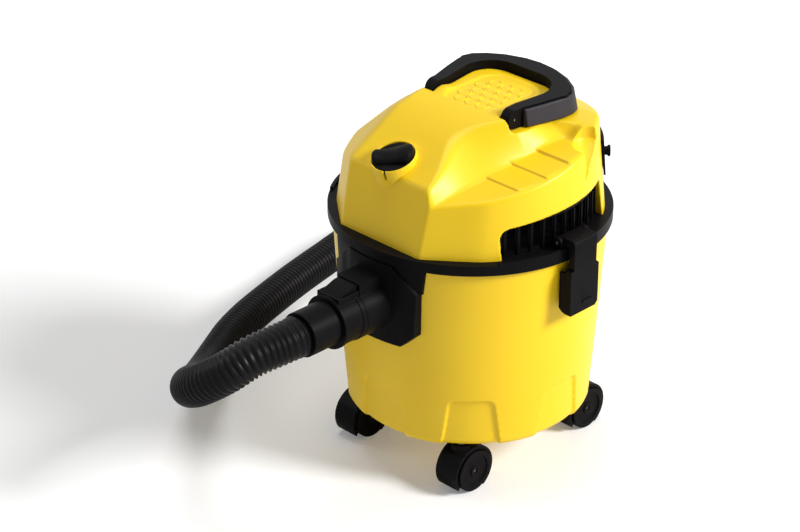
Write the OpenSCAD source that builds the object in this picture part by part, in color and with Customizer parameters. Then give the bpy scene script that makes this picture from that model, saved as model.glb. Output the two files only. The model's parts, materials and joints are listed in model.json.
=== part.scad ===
// Compact wet and dry vacuum cleaner.
// A round drum on four twin-wheel casters carries a lift-off motor head, which holds the fan
// motor, the cartridge filter, the rotary switch and a folding carry handle. Two side latches
// clamp the head to the drum, and a ribbed hose plugs into the inlet at the front.
// Units are millimetres, +Z is up, the inlet faces -Y, and z = 0 is the floor.

/* [Drum] */
// Outside radius of the drum where it meets the head
drum_top_r = 155; // [150:0.5:156]
// Outside radius of the drum just above its floor
drum_bottom_r = 141; // [134:0.5:146]
// Height of the drum wall
drum_h = 232.5; // [210:0.5:250]
// Wall thickness of the drum
drum_wall = 3.5; // [3:0.1:4.5]
// Radius of the round corner between the wall and the floor of the drum
drum_corner_r = 10; // [7:0.5:14]
// Number of pressed panels around the foot of the drum
panel_count = 8; // [4:1:10]
// Height of a pressed panel
panel_h = 62; // [40:1:80]
// Depth of a pressed panel
panel_depth = 3; // [1:0.1:4]
// Width of a pressed panel at its top
panel_top_w = 49; // [36:1:56]
// Width of a pressed panel at its foot
panel_foot_w = 66; // [50:1:74]

/* [Rim and head base] */
// Overhang of the black rim beyond the drum wall, all round
rim_overhang = 5; // [4:0.5:9]
// Height of the rim band
rim_h = 15; // [12:0.5:18]
// Wall thickness of the rim band
rim_wall = 2.4; // [2:0.1:3]
// Thickness of the head base plate
base_plate = 3; // [2.5:0.1:4]
// Height of the exhaust grille wall above the base plate
grille_h = 42; // [34:1:44]
// Distance of the exhaust grille wall inside the hem of the head cover
grille_inset = 11; // [10.5:0.5:14]
// Angle between neighbouring grille ribs
grille_step = 6.3; // [5.5:0.1:7.5]
// Number of slots in each side grille
grille_slots = 10; // [6:1:10]
// Thickness of the rubber rim seal
seal_t = 3.2; // [2.8:0.1:4]

/* [Head cover] */
// Ledge of the rim that shows outside the hem of the head cover
cover_ledge = 10; // [9:0.5:12]
// Wall thickness of the head cover
cover_wall = 3; // [2.4:0.1:3.4]
// Height of the front edge of the top above the base plate
front_edge_h = 74; // [66:0.5:80]
// Rise of the front slope for each millimetre to the rear
front_slope = 0.436; // [0.40:0.005:0.46]
// Height of the crown above the base plate
crown_h = 124.5; // [118:0.5:128]
// Height of the deck that the handle folds down on
deck_h = 107; // [102:0.5:110]
// Height of the tray surface inside the folded handle
tray_h = 121.5; // [116:0.5:123]
// Height of the side shelf above the base plate, level with the drum axis
shelf_h = 91; // [84:0.5:94]

/* [Carry handle] */
// Half the gap between the handle arms at their pivots
handle_half_gap = 50.5; // [48:0.5:56]
// Width of a handle arm
handle_w = 19; // [15:0.5:22]
// Thickness of the handle
handle_t = 22; // [18:0.5:24]
// Distance from the handle pivots to the rear of the folded handle
handle_reach = 114; // [100:1:118]
// Angle that the handle swings up
handle_swing = 90; // [60:1:95]

/* [Switch] */
// Radius of the switch boss
switch_boss_r = 26; // [23:0.5:28]
// Radius of the switch knob
switch_knob_r = 20.5; // [17:0.5:21.5]
// Height of the switch bar above the knob disc
switch_bar_h = 9; // [6:0.5:12]

/* [Latches] */
// Width of a latch neck
latch_neck_w = 36; // [28:0.5:38]
// Width of a latch pad
latch_pad_w = 45; // [40:0.5:48]
// Length of a latch below its pivot
latch_drop = 83; // [74:1:95]
// Diameter of a latch pin
latch_pin_d = 4; // [3:0.1:5]

/* [Inlet and hose] */
// Height of the inlet axis above the floor
inlet_z = 229; // [222:0.5:234]
// Outside radius of the inlet stub
stub_r = 31; // [29:0.5:33]
// Bore radius of the inlet stub
stub_bore_r = 24.1; // [23:0.1:25]
// Distance from the drum axis to the mouth of the inlet stub
stub_reach = 190; // [184:1:196]
// Length of the hose connector outside the stub
connector_l = 33; // [28:1:38]
// Length of the smooth hose cuff
cuff_l = 39; // [30:1:42]
// Bore radius of the hose
hose_bore_r = 19; // [16:0.1:20]
// Outside radius of the hose over its ribs
hose_r = 23.5; // [22:0.1:24.5]
// Outside radius of the end cuff that tools push onto
end_cuff_r = 17.5; // [16.5:0.1:18.5]
// Length of the end cuff
end_cuff_l = 60; // [45:1:70]

/* [Casters] */
// Distance of a caster from the middle plane, side to side
caster_x = 82; // [74:1:88]
// Distance of a caster from the drum axis, front to rear
caster_y = 96; // [80:1:98]
// Diameter of a caster wheel
wheel_d = 50; // [44:1:52]
// Width of one caster wheel
wheel_w = 12; // [9:0.5:13]
// Overall width of a caster
caster_w = 36; // [32:0.5:40]
// Distance from the swivel axis back to the axle
caster_trail = 5; // [3:0.5:8]
// Diameter of the swivel stem
stem_d = 7; // [5:0.5:7.5]
// Diameter of the axle
axle_d = 5; // [4:0.5:6]

/* [Motor and filter] */
// Radius of the fan housing
fan_housing_r = 58; // [54:0.5:62]
// Radius of the motor stator
stator_r = 38; // [34:0.5:40]
// Radius of the armature
armature_r = 20; // [17:0.5:21]
// Radius of the motor shaft
shaft_r = 4; // [3:0.1:5]
// Outside radius of the cartridge filter
filter_r = 57; // [50:0.5:62]
// Height of the cartridge filter
filter_h = 112; // [90:1:125]
// Inside radius of the filter cage
cage_r = 41; // [38:0.5:43]
// Rise of the float inside its cage
float_rise = 30; // [20:1:34]

/* [Hidden] */

$fn = 96;
tiny = 0.001;
yellow = "#f5cf1c";
black = "#232126";
grip_grey = "#4a464c";
steel = "#b9bcc0";
rubber = "#1c1b1d";

// Clearances
seat_gap = 0.3;      // between parts that only rest beside each other
running_gap = 0.05;  // round a shaft or pin that turns
slide_gap = 0.08;    // round a part that plugs in
swing_gap = 1;       // round a part that swings past another

// Radii that follow from the drum
rim_r = drum_top_r + rim_overhang;
skirt_r = rim_r - cover_ledge;
grille_r = skirt_r - grille_inset;

// Heights that everything stands on
drum_z = wheel_d + 9;
drum_top = drum_z + drum_h;
rim_bottom = drum_top - 5.5;
rim_top = rim_bottom + rim_h;
seal_top = drum_top + seat_gap + seal_t;
plate_top = seal_top + base_plate;
drum_taper = (drum_top_r - drum_bottom_r) / drum_h;
function drum_r(z) = drum_bottom_r + drum_taper * (z - drum_z);

// The drum axis stands off the middle of the overall length
rear_reach = rim_r;
axis_y = (stub_reach - rear_reach) / 2;

module placed() { translate([0, axis_y, 0]) children(); }

// A tube or disc about the vertical axis, from z0 to z1
module ring(r_out, r_in, z0, z1) {
    translate([0, 0, z0]) difference() {
        cylinder(r = r_out, h = z1 - z0);
        if (r_in > 0) translate([0, 0, -1]) cylinder(r = r_in, h = z1 - z0 + 2);
    }
}

// A cylinder along Y, from y0 (front) to y1
module bar_y(r, y0, y1, x = 0, z = 0, r_front = undef) {
    translate([x, y1, z]) rotate([90, 0, 0])
        cylinder(r1 = r, r2 = is_undef(r_front) ? r : r_front, h = y1 - y0);
}

// A cylinder along X, from x0 to x1
module bar_x(r, x0, x1, y = 0, z = 0) {
    translate([x0, y, z]) rotate([0, 90, 0]) cylinder(r = r, h = x1 - x0);
}

// A box between two corners
module block(a, b) {
    translate([min(a[0], b[0]), min(a[1], b[1]), min(a[2], b[2])])
        cube([abs(b[0] - a[0]), abs(b[1] - a[1]), abs(b[2] - a[2])]);
}

// Points of an arc in a profile, from angle a0 to a1 about c
function arc(c, r, a0, a1, n = 8) =
    [for (i = [0:n]) let (a = a0 + (a1 - a0) * i / n) [c[0] + r * cos(a), c[1] + r * sin(a)]];

// ---------------------------------------------------------------- drum

module drum_outer() {
    rotate_extrude() union() {
        polygon([[0, drum_z], [drum_bottom_r - drum_corner_r, drum_z],
            [drum_r(drum_z + drum_corner_r), drum_z + drum_corner_r],
            [drum_top_r, drum_top], [0, drum_top]]);
        translate([drum_r(drum_z + drum_corner_r) - drum_corner_r, drum_z + drum_corner_r])
            circle(r = drum_corner_r);
    }
}

module drum_inner() {
    rotate_extrude() polygon([[0, drum_z + drum_wall],
        [drum_bottom_r - drum_corner_r, drum_z + drum_wall],
        [drum_r(drum_z + drum_corner_r) - drum_wall, drum_z + drum_corner_r],
        [drum_top_r - drum_wall, drum_top + 1], [0, drum_top + 1]]);
}

// The wedges between the drum's wall and a wall set in by an amount, at every panel
module panel_wedges(inset) difference() {
    for (i = [0:panel_count - 1]) rotate(i * 360 / panel_count) panel_prism();
    translate([0, 0, drum_z - 2]) cylinder(h = drum_h + 4,
        r1 = drum_bottom_r - inset - 2 * drum_taper, r2 = drum_top_r - inset + 2 * drum_taper);
}

module panel_prism() {
    reach = drum_top_r + 10;
    soft = 4;
    rotate([90, 0, 0]) linear_extrude(reach) polygon([
        [-panel_foot_w / 2 - 1, drum_z - 1], [panel_foot_w / 2 + 1, drum_z - 1],
        [panel_top_w / 2 + 0.6, drum_z + panel_h - soft], [panel_top_w / 2 - soft, drum_z + panel_h],
        [-panel_top_w / 2 + soft, drum_z + panel_h], [-panel_top_w / 2 - 0.6, drum_z + panel_h - soft]]);
}

module tank_drum() placed() color(yellow) difference() {
    difference() {
        drum_outer();
        panel_wedges(panel_depth);
    }
    difference() {
        drum_inner();
        panel_wedges(panel_depth + drum_wall);
        for (sx = [-1, 1], sy = [-1, 1])
            translate([sx * caster_x, sy * caster_y, drum_z])
                cylinder(r = bush_r + 3, h = socket_h + drum_wall);
    }
    for (sx = [-1, 1], sy = [-1, 1])
        translate([sx * caster_x, sy * caster_y, drum_z - 1]) cylinder(r = bush_r, h = socket_h + 1);
    bar_y(spigot_r + 1, -drum_top_r - 5, 0, z = inlet_z);
}

// The elbow behind the inlet turns the air down and aside
spigot_r = stub_bore_r + 2;
deflector_w = 66;
deflector_y = -drum_r(inlet_z) + drum_wall + 8;
deflector_depth = 40;

module inlet_deflector() placed() color(black) difference() {
    block([-deflector_w / 2, deflector_y + deflector_depth, inlet_z - deflector_w / 2],
        [deflector_w / 2, deflector_y, inlet_z + deflector_w / 2]);
    block([-deflector_w / 2 + 3, deflector_y + deflector_depth - 3, inlet_z - deflector_w],
        [deflector_w / 2 - 3, deflector_y + 3, inlet_z + deflector_w / 2 - 3]);
    bar_y(spigot_r + seat_gap, deflector_y - 1, deflector_y + 4, z = inlet_z);
}

// ---------------------------------------------------------------- inlet plate

plate_r = rim_r + 1;
plate_half_w = 62;
plate_top_z = rim_bottom - 1.5;
collar_half_w = 68;

module plate_prism(points) {
    translate([0, -100, 0]) rotate([90, 0, 0]) linear_extrude(80) polygon(points);
}

module inlet_plate() placed() color(black) difference() {
    union() {
        intersection() {
            ring(plate_r, 100, inlet_z - 60, plate_top_z);
            plate_prism([[-32, plate_top_z], [32, plate_top_z], [plate_half_w, inlet_z + 27],
                [plate_half_w - 3, inlet_z - 25], [44, inlet_z - 40],
                [-44, inlet_z - 40], [-plate_half_w + 3, inlet_z - 25], [-plate_half_w, inlet_z + 27]]);
        }
        intersection() {
            ring(plate_r - 4, 100, inlet_z - 60, plate_top_z);
            plate_prism([[-collar_half_w, plate_top_z], [collar_half_w, plate_top_z],
                [collar_half_w - 4, inlet_z + 27], [-collar_half_w + 4, inlet_z + 27]]);
        }
        bar_y(stub_r + 6, -plate_r - 5, -130, z = inlet_z, r_front = stub_r);
        bar_y(stub_r, -stub_reach, -130, z = inlet_z);
        block([-catch_w / 2, -stub_reach, inlet_z + 15], [catch_w / 2, -140, inlet_z + catch_top]);
        bar_y(spigot_r, -150, deflector_y + 2, z = inlet_z);
    }
    // the drum wall, and everything inside it except the spigot
    difference() {
        translate([0, 0, drum_z]) cylinder(h = drum_h + 20, r1 = drum_bottom_r + seat_gap,
            r2 = drum_r(drum_top + 20) + seat_gap);
        bar_y(spigot_r, -170, deflector_y + 2, z = inlet_z);
    }
    bar_y(stub_bore_r, -stub_reach - 1, 0, z = inlet_z);
    // the socket in the catch box that takes the lock tongue
    block([-tongue_w / 2 - seat_gap, -stub_reach - 1, inlet_z + stub_r + 1],
        [tongue_w / 2 + seat_gap, -stub_reach + 12, inlet_z + catch_top - 2]);
}

catch_w = 35;
catch_top = 40;
tongue_w = 20;

// ---------------------------------------------------------------- latches and their keepers

latch_x = rim_r - 10;
latch_z = plate_top + 9;
latch_barrel_r = 6;
latch_inner_x = rim_r + 3.5;
latch_outer_x = latch_inner_x + 8;
keeper_z = latch_z - 50;
keeper_reach = rim_r + 1;

module keeper() {
    intersection() {
        difference() {
            block([100, -16, keeper_z - 6], [keeper_reach, 16, keeper_z + 12]);
            translate([0, 0, drum_z]) cylinder(h = drum_h, r1 = drum_bottom_r + seat_gap,
                r2 = drum_top_r + seat_gap);
        }
        block([drum_top_r - 10, -20, keeper_z - 10], [rim_r + 5, 20, keeper_z + 20]);
    }
}

module latch_keepers() placed() color(black) {
    keeper();
    mirror([1, 0, 0]) keeper();
}

latch_t = latch_outer_x - latch_inner_x;
elbow_r = 5.5;
flange_t = 3;

flange_x = sqrt(pow(drum_top_r, 2) - pow(latch_pad_w / 2 - flange_t, 2)) + swing_gap;

// Side wall of the pad, which reaches back round the keeper to just clear of the drum's top
module latch_flange(pad_bottom, pad_top) rotate([90, 0, 0]) linear_extrude(flange_t) polygon([
    [latch_inner_x + 1, pad_bottom + 0.6], [flange_x + 4, pad_bottom + 2.4],
    [flange_x, pad_bottom + 6], [flange_x, pad_top - 4], [latch_inner_x + 1, pad_top - 4]]);

// One latch: a barrel on the pin, an elbow over the rim, a neck, a finger pad and its side walls
module latch() {
    pad_top = latch_z - 29;
    pad_bottom = latch_z - latch_drop;
    difference() {
        union() {
            translate([latch_x, latch_neck_w / 2, latch_z]) rotate([90, 0, 0])
                cylinder(r = latch_barrel_r, h = latch_neck_w);
            block([latch_x, -latch_neck_w / 2, latch_z - 3.5],
                [latch_outer_x - elbow_r, latch_neck_w / 2, latch_z + latch_barrel_r]);
            translate([latch_outer_x - elbow_r, latch_neck_w / 2, latch_z + latch_barrel_r - elbow_r])
                rotate([90, 0, 0]) cylinder(r = elbow_r, h = latch_neck_w);
            block([latch_inner_x, -latch_neck_w / 2, latch_z],
                [latch_outer_x, latch_neck_w / 2, pad_top - 1]);
            translate([latch_inner_x, 0, 0]) rotate([90, 0, 90]) linear_extrude(latch_t) polygon([
                [-latch_pad_w / 2, pad_bottom + 1], [-latch_pad_w / 2 + 1, pad_bottom],
                [latch_pad_w / 2 - 4, pad_bottom], [latch_pad_w / 2, pad_bottom + 4],
                [latch_pad_w / 2, pad_top - 3], [latch_pad_w / 2 - 3, pad_top],
                [-latch_pad_w / 2 + 1, pad_top], [-latch_pad_w / 2, pad_top - 1]]);
            for (y = [latch_pad_w / 2, flange_t - latch_pad_w / 2])
                translate([0, y, 0]) latch_flange(pad_bottom, pad_top);
            // finger grip rib
            block([latch_outer_x - 1, -3, pad_bottom + 10], [latch_outer_x + 1, 12, pad_bottom + 13]);
            // lip that snaps past the keeper
            block([keeper_reach + seat_gap, -12, keeper_z - 12], [latch_inner_x + 1, 12, keeper_z - 4]);
        }
        translate([latch_x, latch_neck_w, latch_z]) rotate([90, 0, 0])
            cylinder(r = latch_pin_d / 2 + running_gap, h = latch_neck_w * 2);
    }
}

module latch_right() placed() color(black) latch();
module latch_left() placed() color(black) mirror([1, 0, 0]) latch();

ear_t = 4;
ear_y = latch_neck_w / 2 + swing_gap;

module latch_pins() placed() color(steel) for (side = [-1, 1])
    translate([side * latch_x, ear_y + ear_t, latch_z]) rotate([90, 0, 0])
        cylinder(r = latch_pin_d / 2, h = 2 * (ear_y + ear_t));

module latch_ears() {
    for (side = [-1, 1], end = [-1, 1]) {
        y0 = end > 0 ? ear_y : -ear_y - ear_t;
        translate([side * latch_x, y0 + ear_t, latch_z]) rotate([90, 0, 0])
            cylinder(r = latch_barrel_r, h = ear_t);
        block([side * (latch_x - latch_barrel_r), y0, plate_top - 1],
            [side * (latch_x + latch_barrel_r), y0 + ear_t, latch_z]);
    }
}

// ---------------------------------------------------------------- head base

grille_half_a = grille_step * grille_slots / 2;
cage_top_r = cage_r + 3;
rib_reach = 2;

module head_base() placed() color(black) difference() {
    union() {
        ring(rim_r, rim_r - rim_wall, rim_bottom, rim_top);
        ring(rim_r, cage_r, seal_top, plate_top);
        ring(rim_r, rim_r - rim_wall - 2, plate_top - 1, rim_top);
        ring(cage_top_r + 9, cage_r, seal_top - 6, seal_top + 1);
        for (side = [0, 180]) rotate(side)
            for (i = [0:grille_slots])
                rotate(-grille_half_a + i * grille_step)
                    block([grille_r - 1, -1.2, plate_top - 1],
                        [grille_r + rib_reach, 1.2, plate_top + grille_h - 8]);
        ring(grille_r, grille_r - 2.5, plate_top - 1, plate_top + grille_h);
        latch_ears();
    }
    // open the front and the rear of the grille wall, under the closed parts of the cover
    for (side = [90, 270]) rotate(side) {
        a = 90 - grille_half_a - 4;
        translate([0, 0, plate_top]) linear_extrude(grille_h + 1)
            polygon([[0, 0], [200, -200 * tan(a)], [200, 200 * tan(a)]]);
    }
    for (side = [0, 180]) rotate(side)
        for (i = [0:grille_slots - 1])
            rotate(-grille_half_a + (i + 0.5) * grille_step)
                block([grille_r - 6, -4.6, plate_top + 4], [grille_r + 1, 4.6, plate_top + grille_h - 8]);
    for (i = [0:screw_count - 1]) rotate(45 + i * 360 / screw_count)
        translate([screw_circle, 0, seal_top - 1]) cylinder(r = screw_r + seat_gap, h = base_plate + 2);
    for (side = [-1, 1])
        translate([side * latch_x, 40, latch_z]) rotate([90, 0, 0]) cylinder(r = latch_pin_d / 2, h = 80);
}

module rim_seal() placed() color(rubber)
    ring(drum_top_r, drum_top_r - drum_wall - 2, seal_top - seal_t, seal_top);

screw_count = 4;
screw_circle = grille_r - 17;
screw_r = 2.5;
screw_l = 22;

module head_screws() placed() color(steel)
    for (i = [0:screw_count - 1]) rotate(45 + i * 360 / screw_count) translate([screw_circle, 0, 0]) {
        ring(5, 0, seal_top - 3, seal_top);
        ring(screw_r, 0, seal_top - 0.5, seal_top + screw_l);
    }

// ---------------------------------------------------------------- head cover

// The outside of the cover is where cover_level is zero: it is negative inside. Heights h are
// measured from the base plate, and each term is one face of the cover in rough millimetres.
// smax and smin join two faces with a rounded edge of size k.
function smax(a, b, k) = max(a, b) + pow(max(k - abs(a - b), 0), 2) / (4 * k);
function smin(a, b, k) = -smax(-a, -b, k);
function smooth_step(a, b, x) = let (t = min(max((x - a) / (b - a), 0), 1)) t * t * (3 - 2 * t);

face_y = skirt_r + 2;      // hem of the flat front face
face_lean = 0.335;         // how the front face leans back
corner_a = 31;             // direction of the flat between the front and a side
corner_d = skirt_r + 0.5;
corner_lean = 0.13;
side_taper = 0.13;         // how the round wall draws in as it rises
front_taper = 0.05;        // extra draw at the front, less at the rear
front_edge_y = face_y - 25; // front edge of the top
side_fall = 0.65;          // fall of the crown outside the handle arms
side_fall_x = handle_half_gap + 12.5;
rear_edge_y = 78;
rear_fall = 0.35;
shelf_rise = 0.31;         // the right shelf climbs to the rear
shelf_foot_x = 70;         // foot of the slope above the shelf, at the front
scoop_slope = 1.3;
left_slope = 0.86;

function wall_level(x, y, h) = let (rho = norm([x, y]) + tiny)
    rho - (skirt_r - h * (side_taper - front_taper * y / rho));
function face_level(y, h) = (-y - face_y + face_lean * h) * 0.95;
function corner_level(x, y, h) = abs(x) * sin(corner_a) - y * cos(corner_a) - corner_d + corner_lean * h;

function shelf_at(y) = min(shelf_h - 0.4 + shelf_rise * y, shelf_h + 5)
    + (deck_h + 3 - shelf_h - 5) * smooth_step(14, 22, y);
function foot_at(y) = min(shelf_foot_x + 0.0028 * pow(max(y + front_edge_y - 17, 0), 2), skirt_r - 42);
function right_side(x, y) = smax(shelf_at(y), shelf_at(y) + scoop_slope * (foot_at(y) - x), 10);
function left_side(x, y) = shelf_h - 36 + 0.27 * (y + 10) + left_slope * (skirt_r - 7 + x);
function top_at(x, y) = smin(front_edge_h + front_slope * (y + front_edge_y),
    crown_h - side_fall * max(abs(x) - side_fall_x, 0), 14);
function crown_at(x, y) = let (
        top = smin(top_at(x, y), x < 0 ? left_side(x, y) : right_side(x, y), 10))
    y > -10 ? smin(top, deck_h + 6 - rear_fall * max(y - rear_edge_y, 0), 16) : top;

function cover_level(x, y, h) = smax(
    smax(smax(wall_level(x, y, h), face_level(y, h), 6), corner_level(x, y, h), 5),
    (h - crown_at(x, y)) * 0.85, 4);

// Distance from the centre to the cover along a direction, by halving
function reach(d, inset, lo, hi, n) = n == 0 ? lo
    : let (m = (lo + hi) / 2, p = cover_centre + m * d)
        cover_level(p[0], p[1], p[2]) > -inset ? reach(d, inset, lo, m, n - 1)
        : reach(d, inset, m, hi, n - 1);

cover_centre = [0, -10, 0];
cover_turns = 72;
cover_rows = 20;

module cover_solid(inset, drop) {
    rows = [for (j = [0:cover_rows - 1]) let (e = 88 * j / (cover_rows - 1))
        for (i = [0:cover_turns - 1]) let (
            a = i * 360 / cover_turns,
            d = [sin(a) * cos(e), -cos(a) * cos(e), sin(e)])
        cover_centre + reach(d, inset, 60, 230, 18) * d];
    top = cover_centre + reach([0, 0, 1], inset, 60, 230, 18) * [0, 0, 1];
    n = cover_turns;
    last = (cover_rows - 1) * n;
    translate([0, 0, plate_top - drop]) polyhedron(
        points = concat(rows, [top, cover_centre]),
        faces = concat(
            [for (j = [0:cover_rows - 2], i = [0:n - 1]) let (k = (i + 1) % n)
                [j * n + i, (j + 1) * n + i, (j + 1) * n + k]],
            [for (j = [0:cover_rows - 2], i = [0:n - 1]) let (k = (i + 1) % n)
                [j * n + i, (j + 1) * n + k, j * n + k]],
            [for (i = [0:n - 1]) [last + i, last + n, last + (i + 1) % n]],
            [for (i = [0:n - 1]) [(i + 1) % n, last + n + 1, i]]));
}

// Plan of the raised tray inside the folded handle, grown by a margin
function tray_plan(grow, y0 = tray_front) = let (
        r = 35 + grow, y1 = handle_rear_y - 28 + grow, w0 = handle_half_gap - 0.5 + grow,
        w1 = w0 + arm_spread * (y1 - r - pivot_y))
    concat([[-w0, y0], [w0, y0], [w0, tray_flare]], arc([w1 - r, y1 - r], r, 0, 90, 6),
        arc([-w1 + r, y1 - r], r, 90, 180, 6), [[-w0, tray_flare]]);

arm_spread = 0.12;
pivot_y = 2;
tray_front = pivot_y - 12;
tray_flare = pivot_y + handle_t / 2 + swing_gap;   // the tray widens only clear of the arms' swing
pivot_h = deck_h + 0.5 + handle_t / 2;
handle_rear_y = pivot_y + handle_reach;

// The tray stands on the deck as an island
module island(grow, top_h) translate([0, 0, plate_top + deck_h - 20])
    linear_extrude(top_h - deck_h + 20) polygon(tray_plan(grow));

module handle_well(grow, floor_h) difference() {
    translate([-200, pivot_y - handle_t / 2 - swing_gap - grow, plate_top + floor_h]) cube([400, 400, 60]);
    translate([0, 0, plate_top]) linear_extrude(deck_h + 80)
        polygon(tray_plan(-grow, pivot_y - 60));
}

switch_back = 14;          // distance of the switch behind the front edge of the top
switch_stand = 7.896;      // how far its boss stands above the slope
switch_at = [-8, switch_back - front_edge_y, front_edge_h + front_slope * switch_back + switch_stand];
switch_tilt = 20;

module at_switch() translate([switch_at[0], switch_at[1], plate_top + switch_at[2]])
    rotate([switch_tilt, 0, 0]) children();

arch_front_y = -82;
arch_rear_y = 72;

module side_arch() {
    rotate([90, 0, 90]) linear_extrude(skirt_r + 30) polygon(concat(
        [[arch_rear_y + 4, plate_top - 2], [arch_rear_y, plate_top + 36], [arch_rear_y - 6, plate_top + 42],
        [30, plate_top + 42], [0, plate_top + 40.5], [-30, plate_top + 37.5]],
        arc([arch_front_y + 9, plate_top + 22], 8, 100, 175, 5),
        [[arch_front_y, plate_top - 2]]));
}

module head_cover() placed() color(yellow) difference() {
    union() {
        difference() {
            union() {
                cover_solid(0, 0);
                at_switch() translate([0, 0, -30]) cylinder(r = switch_boss_r, h = 30, $fn = 48);
                island(0, tray_h);
                intersection() {
                    island(0, crown_h);
                    translate([-100, -50, plate_top]) cube([200, 50 + pivot_y + 9, 200]);
                }
            }
            difference() {
                cover_solid(cover_wall, 1);
                handle_well(cover_wall, deck_h - cover_wall);
                at_switch() translate([0, 0, -knob_seat - cover_wall])
                    cylinder(r = switch_boss_r - 1, h = 40, $fn = 48);
                at_switch() translate([0, 0, switch_body_top + 2 * seat_gap])
                    cylinder(r = 12, h = 20, $fn = 48);
            }
            island(-cover_wall, tray_h - cover_wall);
        }
        intersection() {
            for (i = [0:screw_count - 1]) rotate(45 + i * 360 / screw_count)
                translate([screw_circle, 0, plate_top]) cylinder(r = 6, h = 120, $fn = 24);
            cover_solid(cover_wall / 2, 0);
        }
        // the steps across the side shelf
        for (y = [-61, -31, -1])
            translate([foot_at(y) - 2, y, plate_top + shelf_at(y) - 3]) rotate([atan(shelf_rise), 0, 0])
                cube([skirt_r - 13 - foot_at(y) - 0.0012 * y * y, 3, 4.2]);
    }
    handle_well(0, deck_h);
    side_arch();
    mirror([1, 0, 0]) side_arch();
    at_switch() {
        translate([0, 0, -knob_seat]) cylinder(r = switch_knob_r + swing_gap, h = 40, $fn = 48);
        translate([0, 0, -40]) cylinder(r = spindle_r + swing_gap, h = 60, $fn = 24);
        rotate(-100) translate([0, -1, -7]) cube([switch_boss_r + 2, 2, 20]);
    }
    for (i = [0:screw_count - 1]) rotate(45 + i * 360 / screw_count)
        translate([screw_circle, 0, plate_top - 1]) cylinder(r = screw_r + 0.1, h = screw_l + 1, $fn = 24);
    both_sides() bar_x(bearing_r + 0.2, bearing_x0 - 1, handle_half_gap + 2, y = pivot_y,
        z = plate_top + pivot_h, $fn = 24);
    both_hooks() translate([0, 0, -20]) cylinder(r = hook_r + 0.1, h = 40, $fn = 24);
    bar_y(gland_r + 0.1, skirt_r - 30, skirt_r + 20, z = gland_z, $fn = 24);
}

knob_seat = 8;
switch_body_top = -knob_seat - cover_wall - 3.5;
spindle_r = 3.5;
handle_pin_r = 2.8;
bearing_r = 4.3;
bearing_x0 = handle_half_gap - 12;

module both_sides() {
    children();
    mirror([1, 0, 0]) children();
}

// ---------------------------------------------------------------- rear of the head

hook_h = 61;
hook_r = 5;
panel_half_a = 50;
panel_low = 37;
panel_high = 79;
panel_t = 2.6;
rear_taper = side_taper - front_taper;

module both_hooks() for (a = [-45, 45])
    rotate(a) translate([0, skirt_r - hook_h * rear_taper, plate_top + hook_h])
        rotate([-90, 0, 0]) children();

module rear_panel() placed() color(black) difference() {
    intersection() {
        translate([0, 0, plate_top]) rotate_extrude() polygon([
            for (p = [[seat_gap, panel_low], [panel_t, panel_low],
                [panel_t, panel_high], [seat_gap, panel_high]])
                [skirt_r + p[0] - p[1] * rear_taper, p[1]]]);
        linear_extrude(2 * plate_top) polygon([[0, 0],
            2 * skirt_r * [-sin(panel_half_a), cos(panel_half_a)], [0, 2.7 * skirt_r],
            2 * skirt_r * [sin(panel_half_a), cos(panel_half_a)]]);
    }
    both_hooks() translate([0, 0, -20]) cylinder(r = hook_r, h = 40);
}

// Two knobs that the mains cord is wound on
module cable_hooks() placed() color(black) both_hooks() {
    translate([0, 0, -6]) cylinder(r = hook_r, h = 12);
    translate([0, 0, 6]) cylinder(r = 6.5, h = 3);
}

gland_r = 6;
cable_r = 3.6;
gland_z = plate_top + 19;

module cable_gland() placed() color(black) difference() {
    union() {
        bar_y(gland_r, skirt_r - 10, skirt_r + 2, z = gland_z);
        bar_y(gland_r + 3, skirt_r + 0.5, skirt_r + 6, z = gland_z);
    }
    bar_y(cable_r, skirt_r - 20, skirt_r + 20, z = gland_z);
}

// ---------------------------------------------------------------- switch

module switch_body() placed() color(black) at_switch() difference() {
    translate([-9, -9, switch_body_top - 22]) cube([18, 18, 22]);
    translate([0, 0, switch_body_top - 11]) cylinder(r = spindle_r + running_gap, h = 20);
}

knob_turn = 34;

module switch_knob() placed() color(black) at_switch() rotate(knob_turn) {
    translate([0, 0, -knob_seat + 0.5]) cylinder(r = switch_knob_r, h = knob_seat - 1);
    translate([0, 0, switch_body_top - 10]) cylinder(r = spindle_r, h = 15 + cover_wall);
    intersection() {
        rotate([90, 0, 0]) translate([0, 0, -7.5]) linear_extrude(15) polygon([
            [-24, 0.8], [-24, switch_bar_h - 3], [-17, switch_bar_h + 1], [-8, switch_bar_h],
            [0, switch_bar_h - 2], [9, switch_bar_h + 1], [18, switch_bar_h + 2],
            [24, switch_bar_h - 2], [24, 0.8]]);
        cylinder(r = 23.5, h = 20);
    }
    translate([-14, -7.5, -1.5]) cube([28, 15, 4]);
}

// ---------------------------------------------------------------- motor

motor_z = plate_top + 5;
armature_z = plate_top + 42;
armature_l = 35;
commutator_z = armature_z + armature_l + 3;
commutator_l = 12;
bracket_z = motor_z + 25;
bracket_top = plate_top + 100;
motor_bearing_r = 9;
bearing_w = 6;
fan_wall = 2;
fan_inlet_r = 16;
fan_outlet_r = 26;

module motor_gasket() placed() color(rubber) ring(54, 46, plate_top, motor_z);

module fan_housing() placed() color(steel) difference() {
    ring(fan_housing_r, fan_inlet_r, motor_z, bracket_z);
    ring(fan_housing_r - fan_wall, 0, motor_z + fan_wall, bracket_z - fan_wall);
    ring(fan_outlet_r, 0, motor_z + 10, bracket_z + 1);
}

module fan_impeller() placed() color(steel) {
    ring(fan_housing_r - 5, shaft_r, motor_z + 17, motor_z + 18.5);
    ring(10, shaft_r, motor_z + 6, motor_z + 20);
    intersection() {
        ring(fan_housing_r - 5, 8, motor_z + 6, motor_z + 17.5);
        for (i = [0:8]) rotate(i * 40) translate([0, 4, motor_z + 6]) cube([70, 1.6, 11.5]);
    }
}

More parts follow.
